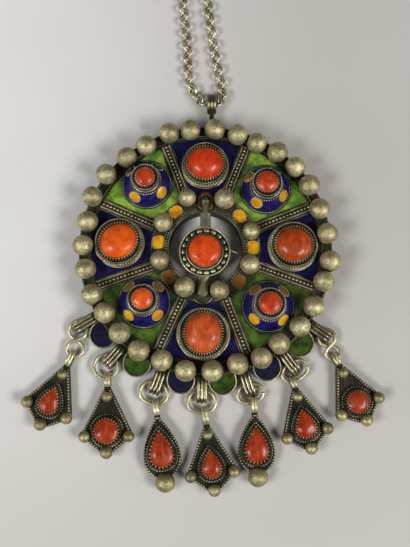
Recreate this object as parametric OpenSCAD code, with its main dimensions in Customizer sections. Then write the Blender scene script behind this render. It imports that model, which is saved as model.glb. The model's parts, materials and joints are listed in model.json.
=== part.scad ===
// Round pectoral of silver, enamel and coral, lying on a table.
// The origin is the middle of the disc on the table, +Y points to the chain, +Z up from the face.

/* [Disc] */
// Outer radius of the rim
rim_r = 45.6; // [45.2:0.1:46]
// Height of the rim above the table
rim_h = 6; // [5.8:0.1:6.2]
// Inner radius of the rim, where the enamel cells end
cell_r = 41.2; // [41:0.1:41.4]
// Height of the metal floor under the enamel
floor_h = 4.4; // [4.2:0.1:4.6]
// Radius of the open middle
opening_r = 13.3; // [13:0.1:13.4]
// Radius of a ball on the rim
rim_ball_r = 3.6; // [3.4:0.05:3.7]

/* [Enamel] */
// Height of the enamel surface above the table
enamel_h = 5.4; // [5.2:0.1:5.6]
// Gap between an enamel field and the metal around it
enamel_gap = 0.1; // [0.08:0.01:0.14]

/* [Corals] */
// Height of the tops of the four large corals
large_coral_h = 12.6; // [12:0.1:13]
// Height of the tops of the four corals on the domes
dome_coral_h = 17; // [16.6:0.1:17.4]
// Height of the top of the coral in the middle
centre_coral_h = 13; // [12.6:0.1:13.4]
// Gap between a coral and its bezel
coral_gap = 0.12; // [0.1:0.01:0.15]

/* [Tongue] */
// Height of the hinge of the tongue
hinge_h = 5.75; // [5.7:0.05:5.8]
// Radius of the hinge bar
hinge_bar_r = 0.75; // [0.7:0.01:0.8]

/* [Drops] */
// Thickness of the plate of a drop
drop_t = 3.2; // [3:0.1:3.4]
// Height of the coral of a drop
drop_coral_h = 6.9; // [6.6:0.1:7.2]

/* [Chain] */
// Outer diameter of a chain link
link_d = 4.3; // [4.25:0.05:4.35]
// Wire of a chain link
link_wire = 0.75; // [0.7:0.01:0.78]
// Length that one link adds to the chain
link_pitch = 2.62; // [2.6:0.01:2.64]

/* [Hidden] */

SILVER = [0.58, 0.56, 0.47];
CORAL = [0.86, 0.30, 0.17];
BLUE = [0.12, 0.09, 0.42];
GREEN = [0.36, 0.52, 0.17];
YELLOW = [0.92, 0.62, 0.12];

ball_h = 9;
land_r = 20;
land_h = 5.4;
collar_r = opening_r + 1.2;
collar_h = 6.2;
rib_w = 3.6;
rib_h = 6.3;
// Facets of round shapes, small ones and large ones
fine = 48;
smooth = 96;
// Height at which what stands on the plate starts inside it
root_h = 1;
// Taller than anything that a cut passes through
through = 20;

// Slot above the opening that the tongue hinges in: half width, near and far end, wall, top
slot_half = 1.2;
slot_near = 15.2;
slot_far = 19.5;
slot_wall = 0.8;
slot_top = collar_h;
hinge_y = 17.4;
eye_play = 0.15;

// Bezels of the large corals: top of the base step, its width, top of the bezel, seat of the stone
bezel_base_h = 7.2;
bezel_step = 0.7;
bezel_h = 9.4;
seat_h = 4.8;
// How far a stone stands above its seat
seat_gap = 0.1;

// Bail at the top of the rim: middle, width, outer and inner radius, width of its shank
bail_c = [2.3, 55.9, 3.65];
bail_w = 3.4;
bail_r = 3.6;
bail_hole_r = 2.75;
shank_w = 1.8;
shank_start = 44.5;

// Tongue: its underside and thickness, width of the strip, bar and neck, and its round setting
tongue_z = 6.5;
tongue_t = 1;
strip_w = 1.9;
bar_w = 3.5;
bar_end = 12.6;
neck_w = 2.9;
tip_w = 3.7;
tip_y = -16.6;
tip_x = -0.95;
setting_c = [-0.3, -1.9];
setting_r = 9.2;
setting_wall = 0.7;
setting_wall_h = 2.1;
setting_bezel_r = 6.5;
setting_bezel_h = 3.6;
setting_seat = 1.2;
centre_stone = [5.7, 5.3];

// Rim balls: direction in degrees, distance from the middle
RIM_BALLS = [
    [97.5, 44], [85.5, 44], [74, 43.5], [64, 43], [53, 44], [42, 44], [31, 44], [18.5, 43.5],
    [6, 44], [-7, 45], [-17, 44], [-29.5, 44], [-41, 44], [-53.5, 43.5], [-64, 44.5], [-75, 43.5],
    [-87, 44.5], [-99, 45], [-110.5, 43.5], [-122, 44], [-134, 43.5], [-146, 43], [-156.5, 44],
    [-169, 43.5], [179.5, 44], [168, 43.5], [156, 45], [143.5, 45], [131, 44], [120, 43.5], [107.5, 44.5]
];
// Balls round the opening: direction, distance from the middle, radius
INNER_BALLS = [
    [110.5, 19.4, 3.1], [68.5, 18.9, 3.6], [19, 17.4, 3], [-22.5, 17.2, 3.4],
    [-72.5, 16.8, 3.3], [-117, 16.6, 3.6], [-163, 17.2, 3.3], [150, 17.6, 3.4]
];
// Directions of the ribs, anticlockwise from the east
RIBS = [21.8, 68.5, 111, 156.5, 199.7, 245.5, 291, 339.8];
// Large corals: middle of the bezel, its radius, half width and half height of the stone, its turn
LARGE = [
    [[-0.1, 30.9], 8.4, 6.9, 6.3, 0],
    [[31.7, 0.5], 8.8, 6.8, 6.5, 0],
    [[-0.8, -31.2], 9.2, 6.7, 7.5, 0],
    [[-31.3, 1.8], 8.8, 7.1, 6.4, 40]
];
// Domes: middle, radius of the base, radius of the small coral
DOMES = [
    [[22, 22], 8.9, 4.1],
    [[22.4, -21.4], 9.1, 4.2],
    [[-22, -19.9], 9.1, 3.9],
    [[-21.6, 23.8], 8.8, 3.7]
];
dome_h = 13;
dome_skin = 1;
dome_bezel_h = 15.2;
dome_bezel_w = 0.9;
dome_seat_h = 12.1;
dome_foot = 0.4;
dot_r = 2.1;
dot_tilt = 53;
dot_rise = 0.12;
// Turn of the four yellow dots on each dome
DOT_TURN = [60, 43, 45, 55];
// Yellow fields round the opening: direction, distance from the middle
YELLOW_FIELDS = [[129, 17.2], [43.5, 17.2], [172.8, 17.2], [0.5, 17.2], [-141.5, 17.2], [-46, 17.2]];
yellow_r = 2.5;
yellow_seat = 0.9;
// Gap round a ball in the enamel that it stands in
ball_gap = 0.15;
// Lobes under the rim: direction of each
LOBES = [-139.5, -120.5, -100.5, -82.8, -63, -45.5];
lobe_at = 48;
lobe_r = 5;
lobe_h = 4.2;
lobe_t = 2;
lobe_wall = 0.5;
lobe_seat = 0.9;

// Straps that carry the drops: direction of each
STRAPS = [-147.8, -130, -109.5, -91.4, -73, -54, -36.5];
strap_w = 3.9;
strap_start = 44;
strap_end = 53.1;
strap_r = 2.1;
strap_hole_r = 1.25;
strap_hole_start = 48.4;
strap_z = 2.7;
ring_wire = 1.2;
ring_start = 51.3;
ring_h = strap_z - 0.5;
eye_z = 2;
eye_r = 1.9;
eye_hole_r = 1.25;
eye_w = 2;
// Jump rings: outer width, outer height, turn against their strap
RINGS = [
    [8.2, 8.2, 10], [9.7, 9.7, 1], [11, 8.9, 0], [11, 8.8, 0],
    [10.4, 7.6, -1], [10.8, 7.6, -4], [7.3, 7.3, -2]
];
// Second loop of the two figure of eight links: outer diameter, turn against the strap
LOWER_LOOP = [[7.2, 50], [6.4, -34]];
// Step between the two loops of such a link, where its wire crosses itself
loop_step = 0.45;
// Direction of each eye from the middle of its ring, for the rings with one loop
EYE_AT = [0, -79, -79, -73, -66, -99, 0];
// Drops: kite or tear, turn, length against the plain one, half width and length of the stone, hang
// of the body under the eye
DROPS = [
    ["kite", -22.5, 0.98, 3.5, 5.1, 2.6],
    ["kite", 0.5, 1, 4.5, 4.5, 1.9],
    ["tear", 7.8, 1.02, 4.3, 6.6, 2.4],
    ["kite", 7, 0.99, 3.5, 5.1, 2.9],
    ["tear", 2.2, 0.97, 4.3, 6.5, 2.6],
    ["kite", 14, 0.95, 3.8, 5.2, 0.9],
    ["kite", 25, 0.95, 4.1, 4.1, 0.9]
];
// Drops that hold a round stone
ROUND_STONES = [1, 6];
drop_z = 0.1;
drop_bezel_h = 5.3;
drop_bezel_w = 0.8;
drop_seat_h = 2.8;
// Kite, half of it: beside the eye, widest point, foot
KITE_HALF = [[1.1, -1.6], [9.2, -18], [0, -25.6]];
// Balls on the kite: place and radius
KITE_BALLS = [[0, -4.6, 1.75], [7.7, -18.3, 2], [-7.7, -18.3, 2], [0, -23.8, 2.1]];
kite_ball_lift = 0.9;
// Tear: half width, half length, its middle under the eye, its ball's place and radius
tear_half_w = 6.5;
tear_half_l = 10.6;
tear_c = -11.9;
tear_ball = [0, -23.8, 3.45];
tear_ball_r = 3.3;
// Middle of the stone under the eye: on a kite if round, on a kite if pointed, on a tear
STONE_Y = [-16.4, -14.6, -12.4];

// Chain: height of its links on the table, clasp, and the route of each strand
link_z = 1.68;
CLASP_C = [-4, 236];
clasp_r = 3.2;
clasp_wire = 1.1;
clasp_reach = 2.2;
curve_steps = 8;
BAIL_START = [0.9, 55.9, 3.6];
LEFT_ROUTE = [
    BAIL_START, [-1.6, 57, 3.1], [-3.2, 59.3, 2.2],
    [-4.7, 62, link_z], [-6, 64.8, link_z], [-6.6, 68, link_z], [-6.8, 74, link_z], [-7, 80, link_z],
    [-7.4, 85, link_z], [-8, 91, link_z], [-8.7, 96.4, link_z],
    [-10, 104, link_z], [-17, 122, link_z], [-31, 143, link_z], [-44, 166, link_z], [-47, 190, link_z],
    [-40, 213, link_z], [-25, 230, link_z], [CLASP_C.x - clasp_reach, CLASP_C.y, link_z]
];
RIGHT_ROUTE = [
    BAIL_START, [4.3, 55.5, 3.85], [4.8, 56, 3.68], [6.8, 59.9, 2.06], [6.4, 61.3, 1.87], [5.5, 67.6, link_z],
    [4.8, 70.5, link_z], [3.7, 76.3, link_z], [2.9, 82.2, link_z], [2.1, 88, link_z], [1.5, 94, link_z],
    [1.4, 101, link_z], [6, 118, link_z], [20, 140, link_z], [34, 163, link_z], [39, 188, link_z],
    [32, 213, link_z], [17, 230, link_z], [CLASP_C.x + clasp_reach, CLASP_C.y, link_z]
];

function dir(a) = [cos(a), sin(a)];
function at(a, r) = r * dir(a);
function unit(v) = v / norm(v);

// Outline of an oval and of a tear with its point at +Y
function oval(rx, ry, n = 28) = [for (i = [0:n - 1]) [rx * cos(360 * i / n), ry * sin(360 * i / n)]];
function tear(rx, ly, n = 28) =
    [for (i = [0:n - 1]) let (t = 360 * i / n) [-rx / 0.77 * sin(t) * sin(t / 2), ly * cos(t)]];

// Round domed stone with upright sides: outline, then heights of its foot, girdle and top
module stone(outline, foot, girdle, top, rows = 4) {
    n = len(outline);
    levels = concat([[1, foot]],
        [for (k = [0:rows]) let (a = 82 * k / rows) [cos(a), girdle + (top - girdle) * sin(a)]]);
    m = len(levels);
    points = concat([for (l = levels) for (p = outline) [p.x * l[0], p.y * l[0], l[1]]], [[0, 0, top]]);
    polyhedron(points, concat(
        [[for (i = [0:n - 1]) n - 1 - i]],
        [for (k = [0:m - 2]) for (i = [0:n - 1])
            [k * n + i, k * n + (i + 1) % n, (k + 1) * n + (i + 1) % n, (k + 1) * n + i]],
        [for (i = [0:n - 1]) [(m - 1) * n + i, (m - 1) * n + (i + 1) % n, m * n]]
    ));
}

module hoop(ring_r, wire_r) {
    rotate_extrude($fn = fine) translate([ring_r, 0]) circle(wire_r, $fn = 24);
}

// Metal disc

module opening_cut() {
    translate([0, 0, -1]) cylinder(r = opening_r, h = through, $fn = smooth);
}

module plate() {
    difference() {
        union() {
            cylinder(r = cell_r + 1, h = floor_h, $fn = smooth);
            difference() {
                cylinder(r = rim_r, h = rim_h, $fn = smooth);
                translate([0, 0, root_h]) cylinder(r = cell_r, h = rim_h, $fn = smooth);
            }
            cylinder(r = land_r, h = land_h, $fn = smooth);
            cylinder(r = collar_r, h = collar_h, $fn = smooth);
        }
        opening_cut();
    }
}

module rib(a) {
    rotate(a) translate([land_r - 0.5, -rib_w / 2, root_h])
        cube([cell_r - land_r + 1, rib_w, rib_h - root_h]);
}

// Box round the slot, grown by g on every side
module slot_box(g, from, h) {
    translate([-slot_half - g, slot_near - g, from])
        cube([2 * (slot_half + g), slot_far - slot_near + 2 * g, h]);
}

module hinge_bar() {
    translate([0, hinge_y, hinge_h]) rotate([0, 90, 0])
        cylinder(r = hinge_bar_r, h = 2 * slot_half + 1.2, center = true, $fn = 32);
}

module large_seat(row) {
    translate([row[0].x, row[0].y, seat_h]) rotate(row[4])
        linear_extrude(through) polygon(oval(row[2] + coral_gap, row[3] + coral_gap));
}

module large_bezel(row) {
    translate([row[0].x, row[0].y, root_h]) {
        cylinder(r = row[1], h = bezel_base_h - root_h, $fn = 64);
        cylinder(r = row[1] - bezel_step, h = bezel_h - root_h, $fn = 64);
    }
}

module large_coral(row) {
    color(CORAL) translate([row[0].x, row[0].y, 0]) rotate(row[4])
        stone(oval(row[2], row[3]), seat_h + seat_gap, bezel_h - 0.2, large_coral_h);
}

// Ball that the metal core and the enamel skin of a dome are cut from
function dome_ball_r(base_r) = (base_r * base_r + pow(dome_h - enamel_h, 2)) / (2 * (dome_h - enamel_h));

// Part of that ball above the foot, its surface set in by less
module dome_ball(row, less, foot) {
    big = dome_ball_r(row[1]);
    translate([row[0].x, row[0].y, dome_h - big]) intersection() {
        sphere(r = big - less, $fn = fine);
        translate([0, 0, foot - dome_h + big]) cylinder(r = through, h = through);
    }
}

module dome_core(row) {
    base_r = row[1] - dome_skin - dome_foot;
    dome_ball(row, dome_skin, enamel_h + enamel_gap);
    translate([row[0].x, row[0].y, root_h]) {
        cylinder(r = base_r, h = enamel_h + 2 * enamel_gap - root_h, $fn = fine);
        difference() {
            cylinder(r = row[2] + dome_bezel_w, h = dome_bezel_h - root_h, $fn = fine);
            translate([0, 0, dome_seat_h - root_h]) cylinder(r = row[2] + coral_gap, h = through, $fn = fine);
        }
    }
}

// What the enamel of a dome leaves free: the core under it and the bezel on top
module dome_free(row) {
    big = dome_ball_r(row[1]);
    translate([row[0].x, row[0].y, dome_h - big]) sphere(r = big - dome_skin + enamel_gap, $fn = fine);
    translate([row[0].x, row[0].y, root_h])
        cylinder(r = row[2] + dome_bezel_w + enamel_gap, h = through, $fn = fine);
}

module dots_on(i, r) {
    row = DOMES[i];
    translate([row[0].x, row[0].y, dome_h - dome_ball_r(row[1])]) for (k = [0:3])
        rotate([0, dot_tilt, DOT_TURN[i] + 90 * k]) cylinder(r = r, h = through, $fn = 24);
}

module dome_enamel(i) {
    color(BLUE) difference() {
        dome_ball(DOMES[i], 0, enamel_h + enamel_gap);
        dome_free(DOMES[i]);
        dots_on(i, dot_r + enamel_gap);
    }
}

module dome_coral(row) {
    color(CORAL) translate([row[0].x, row[0].y, 0])
        stone(oval(row[2], row[2]), dome_seat_h + seat_gap, dome_bezel_h - 0.3, dome_coral_h);
}

module lobe_pan(a) {
    c = at(a, lobe_at);
    translate([c.x, c.y, lobe_h - lobe_t]) difference() {
        cylinder(r = lobe_r, h = lobe_t + 0.2, $fn = fine);
        translate([0, 0, lobe_t - lobe_seat]) cylinder(r = lobe_r - lobe_wall, h = through, $fn = fine);
    }
}

module lobe_enamel(i) {
    c = at(LOBES[i], lobe_at);
    t = lobe_seat - enamel_gap;
    color(i % 2 == 0 ? BLUE : GREEN) difference() {
        translate([c.x, c.y, lobe_h - t]) cylinder(r = lobe_r - lobe_wall - enamel_gap, h = t, $fn = fine);
        translate([0, 0, -1]) cylinder(r = rim_r + enamel_gap, h = through, $fn = smooth);
    }
}

module strap(a) {
    rotate(a) translate([0, 0, strap_z]) difference() {
        union() {
            translate([strap_start, -strap_w / 2, -strap_r])
                cube([strap_end - strap_start, strap_w, 2 * strap_r]);
            translate([strap_end, 0, 0]) rotate([90, 0, 0])
                cylinder(r = strap_r, h = strap_w, center = true, $fn = 32);
        }
        translate([strap_hole_start, -strap_w, -strap_hole_r])
            cube([strap_end - strap_hole_start, 2 * strap_w, 2 * strap_hole_r]);
        translate([strap_end, 0, 0]) rotate([90, 0, 0])
            cylinder(r = strap_hole_r, h = 2 * strap_w, center = true, $fn = 32);
    }
}

module bail() {
    translate(bail_c) rotate([0, 90, 0]) difference() {
        cylinder(r = bail_r, h = bail_w, center = true, $fn = fine);
        cylinder(r = bail_hole_r, h = bail_w + 2, center = true, $fn = fine);
    }
    translate([bail_c.x - shank_w / 2, shank_start, 2.6])
        cube([shank_w, bail_c.y - bail_hole_r - 0.3 - shank_start, 2.1]);
}

module rim_ball(row) {
    c = at(row[0], row[1]);
    translate([c.x, c.y, ball_h]) sphere(r = rim_ball_r, $fn = fine);
}

module inner_ball(row, grow) {
    c = at(row[0], row[1]);
    translate([c.x, c.y, land_h + row[2] - 0.3]) sphere(r = row[2] + grow, $fn = fine);
}

module yellow_field(row, r, from, h) {
    c = at(row[0], row[1]);
    translate([c.x, c.y, from]) cylinder(r = r, h = h, $fn = 32);
}

module disc_body() {
    color(SILVER) difference() {
        union() {
            plate();
            for (a = RIBS) rib(a);
            slot_box(slot_wall, root_h, slot_top - root_h);
            for (row = LARGE) large_bezel(row);
            for (row = DOMES) dome_core(row);
            for (row = RIM_BALLS) rim_ball(row);
            for (row = INNER_BALLS) inner_ball(row, 0);
            for (a = LOBES) lobe_pan(a);
            for (a = STRAPS) strap(a);
            bail();
        }
        slot_box(0, -1, through);
        for (row = LARGE) large_seat(row);
        for (row = YELLOW_FIELDS)
            yellow_field(row, yellow_r + enamel_gap, land_h - yellow_seat, yellow_seat + 0.05);
        opening_cut();
    }
    color(SILVER) hinge_bar();
}

// Enamel fields

module wedge(a, b) {
    mid = (a + b) / 2;
    apex = at(mid, (rib_w / 2 + enamel_gap) / sin((b - a) / 2));
    polygon([apex, apex + at(a, 70), apex + at(mid, 90), apex + at(b, 70)]);
}

module field(a, b) {
    translate([0, 0, floor_h + enamel_gap]) linear_extrude(enamel_h - floor_h - enamel_gap) intersection() {
        wedge(a, b);
        difference() {
            circle(r = cell_r - enamel_gap, $fn = smooth);
            circle(r = land_r + enamel_gap, $fn = smooth);
        }
    }
}

module blue_field(a, b, row) {
    color(BLUE) difference() {
        field(a, b);
        translate([row[0].x, row[0].y, 0]) cylinder(r = row[1] + enamel_gap, h = through, $fn = 64);
        for (ball = INNER_BALLS) inner_ball(ball, ball_gap);
        slot_box(slot_wall + enamel_gap, 0, through);
    }
}

module green_field(a, b, row) {
    core_r = row[1] - dome_skin - dome_foot;
    color(GREEN) difference() {
        field(a, b);
        translate([row[0].x, row[0].y, 0]) cylinder(r = core_r + enamel_gap, h = through, $fn = fine);
        for (ball = INNER_BALLS) inner_ball(ball, ball_gap);
    }
}

module yellow_enamel() {
    color(YELLOW) {
        for (row = YELLOW_FIELDS) difference() {
            yellow_field(row, yellow_r, land_h - yellow_seat + enamel_gap, 1);
            for (ball = INNER_BALLS) inner_ball(ball, ball_gap);
        }
        for (i = [0:3]) intersection() {
            dots_on(i, dot_r);
            difference() {
                dome_ball(DOMES[i], -dot_rise, enamel_h + enamel_gap);
                dome_free(DOMES[i]);
            }
        }
    }
}

// Tongue with the central setting, hinged over the opening

module strip(x, w, from, to) {
    translate([x - w / 2, from, tongue_z]) cube([w, to - from, tongue_t]);
}

module setting_seat_cut(grow) {
    translate([setting_c.x, setting_c.y, tongue_z + setting_seat])
        linear_extrude(through) polygon(oval(centre_stone.x + grow, centre_stone.y + grow));
}

module setting() {
    translate([setting_c.x, setting_c.y, tongue_z]) {
        cylinder(r = setting_r, h = tongue_t, $fn = 64);
        difference() {
            cylinder(r = setting_r, h = setting_wall_h, $fn = 64);
            translate([0, 0, -1]) cylinder(r = setting_r - setting_wall, h = through, $fn = 64);
        }
        cylinder(r = setting_bezel_r, h = setting_bezel_h, $fn = 64);
    }
}

module tongue() {
    color(SILVER) difference() {
        union() {
            translate([0, hinge_y, hinge_h]) rotate([0, 90, 0])
                cylinder(r = tongue_z + tongue_t - hinge_h, h = strip_w, center = true, $fn = 32);
            strip(0, strip_w, 0, hinge_y);
            strip(0, bar_w, 2, bar_end);
            setting();
            strip(tip_x, neck_w, tip_y, -4);
            strip(tip_x, tip_w, tip_y, tip_y + 3.4);
            translate([tip_x, tip_y, tongue_z]) cylinder(r = tip_w / 2, h = tongue_t, $fn = 32);
        }
        translate([0, hinge_y, hinge_h]) rotate([0, 90, 0])
            cylinder(r = hinge_bar_r + eye_play, h = 2 * slot_half, center = true, $fn = 32);
        setting_seat_cut(coral_gap);
    }
}

module coral_centre() {
    color(CORAL) translate([setting_c.x, setting_c.y, 0])
        stone(oval(centre_stone.x, centre_stone.y), tongue_z + setting_seat + seat_gap,
            tongue_z + setting_bezel_h - 0.1, centre_coral_h);
}

// Jump rings: a stadium of round wire, its wide side across the strap

module wire_arc(r, from, sweep, wire_r) {
    rotate(from) rotate_extrude(angle = sweep, $fn = fine) translate([r, 0]) circle(wire_r, $fn = 24);
}

module stadium(w, h, wire) {
    r = (h - wire) / 2;
    side = (w - h) / 2;
    translate([0, side, 0]) wire_arc(r, 0, 180, wire / 2);
    translate([0, -side, 0]) wire_arc(r, 180, 180, wire / 2);
    if (side > 0) for (x = [-r, r])
        translate([x, side, 0]) rotate([90, 0, 0]) cylinder(r = wire / 2, h = 2 * side, $fn = 24);
}

function ring_r(i) = (RINGS[i][1] - ring_wire) / 2;
function ring_side(i) = (RINGS[i][0] - RINGS[i][1]) / 2;
function ring_turn(i) = STRAPS[i] + RINGS[i][2];
function ring_c(i) = at(STRAPS[i], ring_start) + at(ring_turn(i), ring_r(i));
function lower_loop(i) = LOWER_LOOP[i == 0 ? 0 : 1];
function lower_r(i) = (lower_loop(i)[0] - ring_wire) / 2;
function lower_turn(i) = STRAPS[i] + lower_loop(i)[1];
function lower_c(i) = ring_c(i) + at(lower_turn(i), ring_r(i) + lower_r(i));
function has_lower(i) = i == 0 || i == 6;
// Slope of a ring that leans on the eye under it
function ring_lean(i) = asin(min(0.9, (ring_h - eye_z) / ring_r(i) / 2));

module jump_ring(i) {
    c = ring_c(i);
    color(SILVER) {
        translate([c.x, c.y, ring_h]) rotate(ring_turn(i)) {
            if (has_lower(i)) hoop(ring_r(i), ring_wire / 2);
            else rotate([0, ring_lean(i), 0]) stadium(RINGS[i][0], RINGS[i][1], ring_wire);
        }
        if (has_lower(i)) {
            l = lower_c(i);
            translate([l.x, l.y, ring_h - loop_step]) hoop(lower_r(i), ring_wire / 2);
        }
    }
}

// Distance from a ring's middle to its wire, in a direction a off its axis
function reach(i, a) = ring_r(i) * tan(a) <= ring_side(i)
    ? ring_r(i) / cos(a)
    : ring_side(i) * sin(a) + sqrt(pow(ring_r(i), 2) - pow(ring_side(i) * cos(a), 2));
// Place of the eye of each drop, at the far side of its ring
function eye_c(i) = has_lower(i)
    ? lower_c(i) + at(DROPS[i][1] - 90, lower_r(i))
    : ring_c(i) + at(EYE_AT[i], reach(i, abs(EYE_AT[i] - ring_turn(i))));

// Drops, drawn hanging down -Y from their eye

function hang(i) = DROPS[i][5];
function stone_y(i) = -hang(i)
    + DROPS[i][2] * (DROPS[i][0] == "tear" ? STONE_Y[2] : is_round(i) ? STONE_Y[0] : STONE_Y[1]);
function is_round(i) = i == ROUND_STONES[0] || i == ROUND_STONES[1];
function stone_outline(i, g) = is_round(i)
    ? oval(DROPS[i][3] + g, DROPS[i][4] + g)
    : tear(DROPS[i][3] + g, DROPS[i][4] + g);

module in_drop(i) {
    e = eye_c(i);
    translate([e.x, e.y, 0]) rotate(DROPS[i][1]) children();
}

module eye(hang) {
    translate([-eye_w / 2, -hang, eye_z - eye_r]) cube([eye_w, hang, 2 * eye_r]);
    for (y = [0, -hang]) translate([0, y, eye_z]) rotate([0, 90, 0])
        cylinder(r = eye_r, h = eye_w, center = true, $fn = 32);
}

module eye_hole() {
    translate([0, 0, eye_z]) rotate([0, 90, 0]) cylinder(r = eye_hole_r, h = 8, center = true, $fn = 32);
}

module kite_body(s) {
    right = [for (p = KITE_HALF) s * p];
    left = [for (k = [1:-1:0]) s * [-KITE_HALF[k].x, KITE_HALF[k].y]];
    translate([0, 0, drop_z]) linear_extrude(drop_t) polygon(concat(right, left));
    for (p = KITE_BALLS)
        translate([s * p.x, s * p.y, drop_t + kite_ball_lift]) sphere(r = p[2], $fn = fine);
}

module tear_body(s) {
    translate([0, tear_c * s, drop_z]) linear_extrude(drop_t) polygon(tear(tear_half_w, tear_half_l * s, 36));
    translate([0, tear_ball.y * s, tear_ball.z]) sphere(r = tear_ball_r, $fn = fine);
    translate([-eye_w / 2, -4.5, 0.4]) cube([eye_w, 3.2, 2.8]);
}

module drop(i) {
    color(SILVER) in_drop(i) difference() {
        union() {
            translate([0, -hang(i), 0]) {
                if (DROPS[i][0] == "kite") kite_body(DROPS[i][2]);
                else tear_body(DROPS[i][2]);
            }
            translate([0, stone_y(i), root_h])
                linear_extrude(drop_bezel_h - root_h) polygon(stone_outline(i, drop_bezel_w));
            eye(hang(i));
        }
        eye_hole();
        translate([0, stone_y(i), drop_seat_h]) linear_extrude(through) polygon(stone_outline(i, coral_gap));
    }
}

module drop_coral(i) {
    color(CORAL) in_drop(i) translate([0, stone_y(i), 0])
        stone(stone_outline(i, 0), drop_seat_h + seat_gap, drop_bezel_h - 0.1, drop_coral_h);
}

// Chain: each strand follows a smooth curve through its route points

function bend(p0, p1, p2, p3, t) = 0.5 * (2 * p1 + (p2 - p0) * t
    + (2 * p0 - 5 * p1 + 4 * p2 - p3) * t * t + (3 * p1 - p0 - 3 * p2 + p3) * t * t * t);
function curve(route) = let (n = len(route) - 1) concat([
    for (i = [0:n - 1]) for (k = [0:curve_steps - 1])
        bend(route[max(i - 1, 0)], route[i], route[i + 1], route[min(i + 2, n)], k / curve_steps)
], [route[n]]);
function lengths(path) = [
    for (i = 0, s = 0; i < len(path); i = i + 1, s = s + (i < len(path) ? norm(path[i] - path[i - 1]) : 0)) s
];
function on_path(path, sums, s) =
    [for (axis = [0:2]) lookup(s, [for (i = [0:len(path) - 1]) [sums[i], path[i][axis]]])];

module link_between(a, b, side) {
    d = unit(b - a);
    flat = unit(cross([0, 0, 1], d));
    up = cross(d, flat);
    u = (flat + side * up) / sqrt(2);
    n = cross(d, u);
    m = (a + b) / 2;
    multmatrix([[d.x, u.x, n.x, m.x], [d.y, u.y, n.y, m.y], [d.z, u.z, n.z, m.z], [0, 0, 0, 1]])
        hoop((link_d - link_wire) / 2, link_wire / 2);
}

module strand(route, side) {
    path = curve(route);
    sums = lengths(path);
    total = sums[len(sums) - 1];
    count = round(total / link_pitch);
    joints = [for (i = [0:count]) on_path(path, sums, total * i / count)];
    for (i = [0:count - 1]) link_between(joints[i], joints[i + 1], i % 2 == 0 ? side : -side);
}

module chain_left() {
    color(SILVER) strand(LEFT_ROUTE, 1);
}

module chain_right() {
    color(SILVER) strand(RIGHT_ROUTE, 1);
}

module clasp() {
    color(SILVER) translate([CLASP_C.x, CLASP_C.y, link_z]) hoop(clasp_r, clasp_wire / 2);
}

disc_body();
tongue();
coral_centre();
yellow_enamel();
blue_field(RIBS[1], RIBS[2], LARGE[0]);  // blue_enamel_n
blue_field(RIBS[7] - 360, RIBS[0], LARGE[1]);  // blue_enamel_e
blue_field(RIBS[5], RIBS[6], LARGE[2]);  // blue_enamel_s
blue_field(RIBS[3], RIBS[4], LARGE[3]);  // blue_enamel_w
green_field(RIBS[0], RIBS[1], DOMES[0]);  // green_enamel_ne
green_field(RIBS[6], RIBS[7], DOMES[1]);  // green_enamel_se
green_field(RIBS[4], RIBS[5], DOMES[2]);  // green_enamel_sw
green_field(RIBS[2], RIBS[3], DOMES[3]);  // green_enamel_nw
dome_enamel(0);  // dome_enamel_ne
dome_enamel(1);  // dome_enamel_se
dome_enamel(2);  // dome_enamel_sw
dome_enamel(3);  // dome_enamel_nw
large_coral(LARGE[0]);  // coral_n
large_coral(LARGE[1]);  // coral_e
large_coral(LARGE[2]);  // coral_s
large_coral(LARGE[3]);  // coral_w
dome_coral(DOMES[0]);  // coral_ne
dome_coral(DOMES[1]);  // coral_se
dome_coral(DOMES[2]);  // coral_sw
dome_coral(DOMES[3]);  // coral_nw
lobe_enamel(0);  // lobe_enamel_1
lobe_enamel(1);  // lobe_enamel_2
lobe_enamel(2);  // lobe_enamel_3
lobe_enamel(3);  // lobe_enamel_4
lobe_enamel(4);  // lobe_enamel_5
lobe_enamel(5);  // lobe_enamel_6
jump_ring(0);  // jump_ring_1
jump_ring(1);  // jump_ring_2
jump_ring(2);  // jump_ring_3
jump_ring(3);  // jump_ring_4
jump_ring(4);  // jump_ring_5
jump_ring(5);  // jump_ring_6
jump_ring(6);  // jump_ring_7
drop(0);  // drop_1
drop(1);  // drop_2
drop(2);  // drop_3
drop(3);  // drop_4
drop(4);  // drop_5
drop(5);  // drop_6
drop(6);  // drop_7
drop_coral(0);  // drop_coral_1
drop_coral(1);  // drop_coral_2
drop_coral(2);  // drop_coral_3
drop_coral(3);  // drop_coral_4
drop_coral(4);  // drop_coral_5
drop_coral(5);  // drop_coral_6
drop_coral(6);  // drop_coral_7
chain_left();
chain_right();
clasp();
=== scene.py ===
"""Looks of a round silver pectoral with enamel, corals, drops and a chain, lying on a pale table."""

import json
import logging
import math
from dataclasses import dataclass
from enum import Enum

import bmesh
import bpy
import numpy as np
from mathutils import Euler, Matrix, Vector, noise

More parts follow.
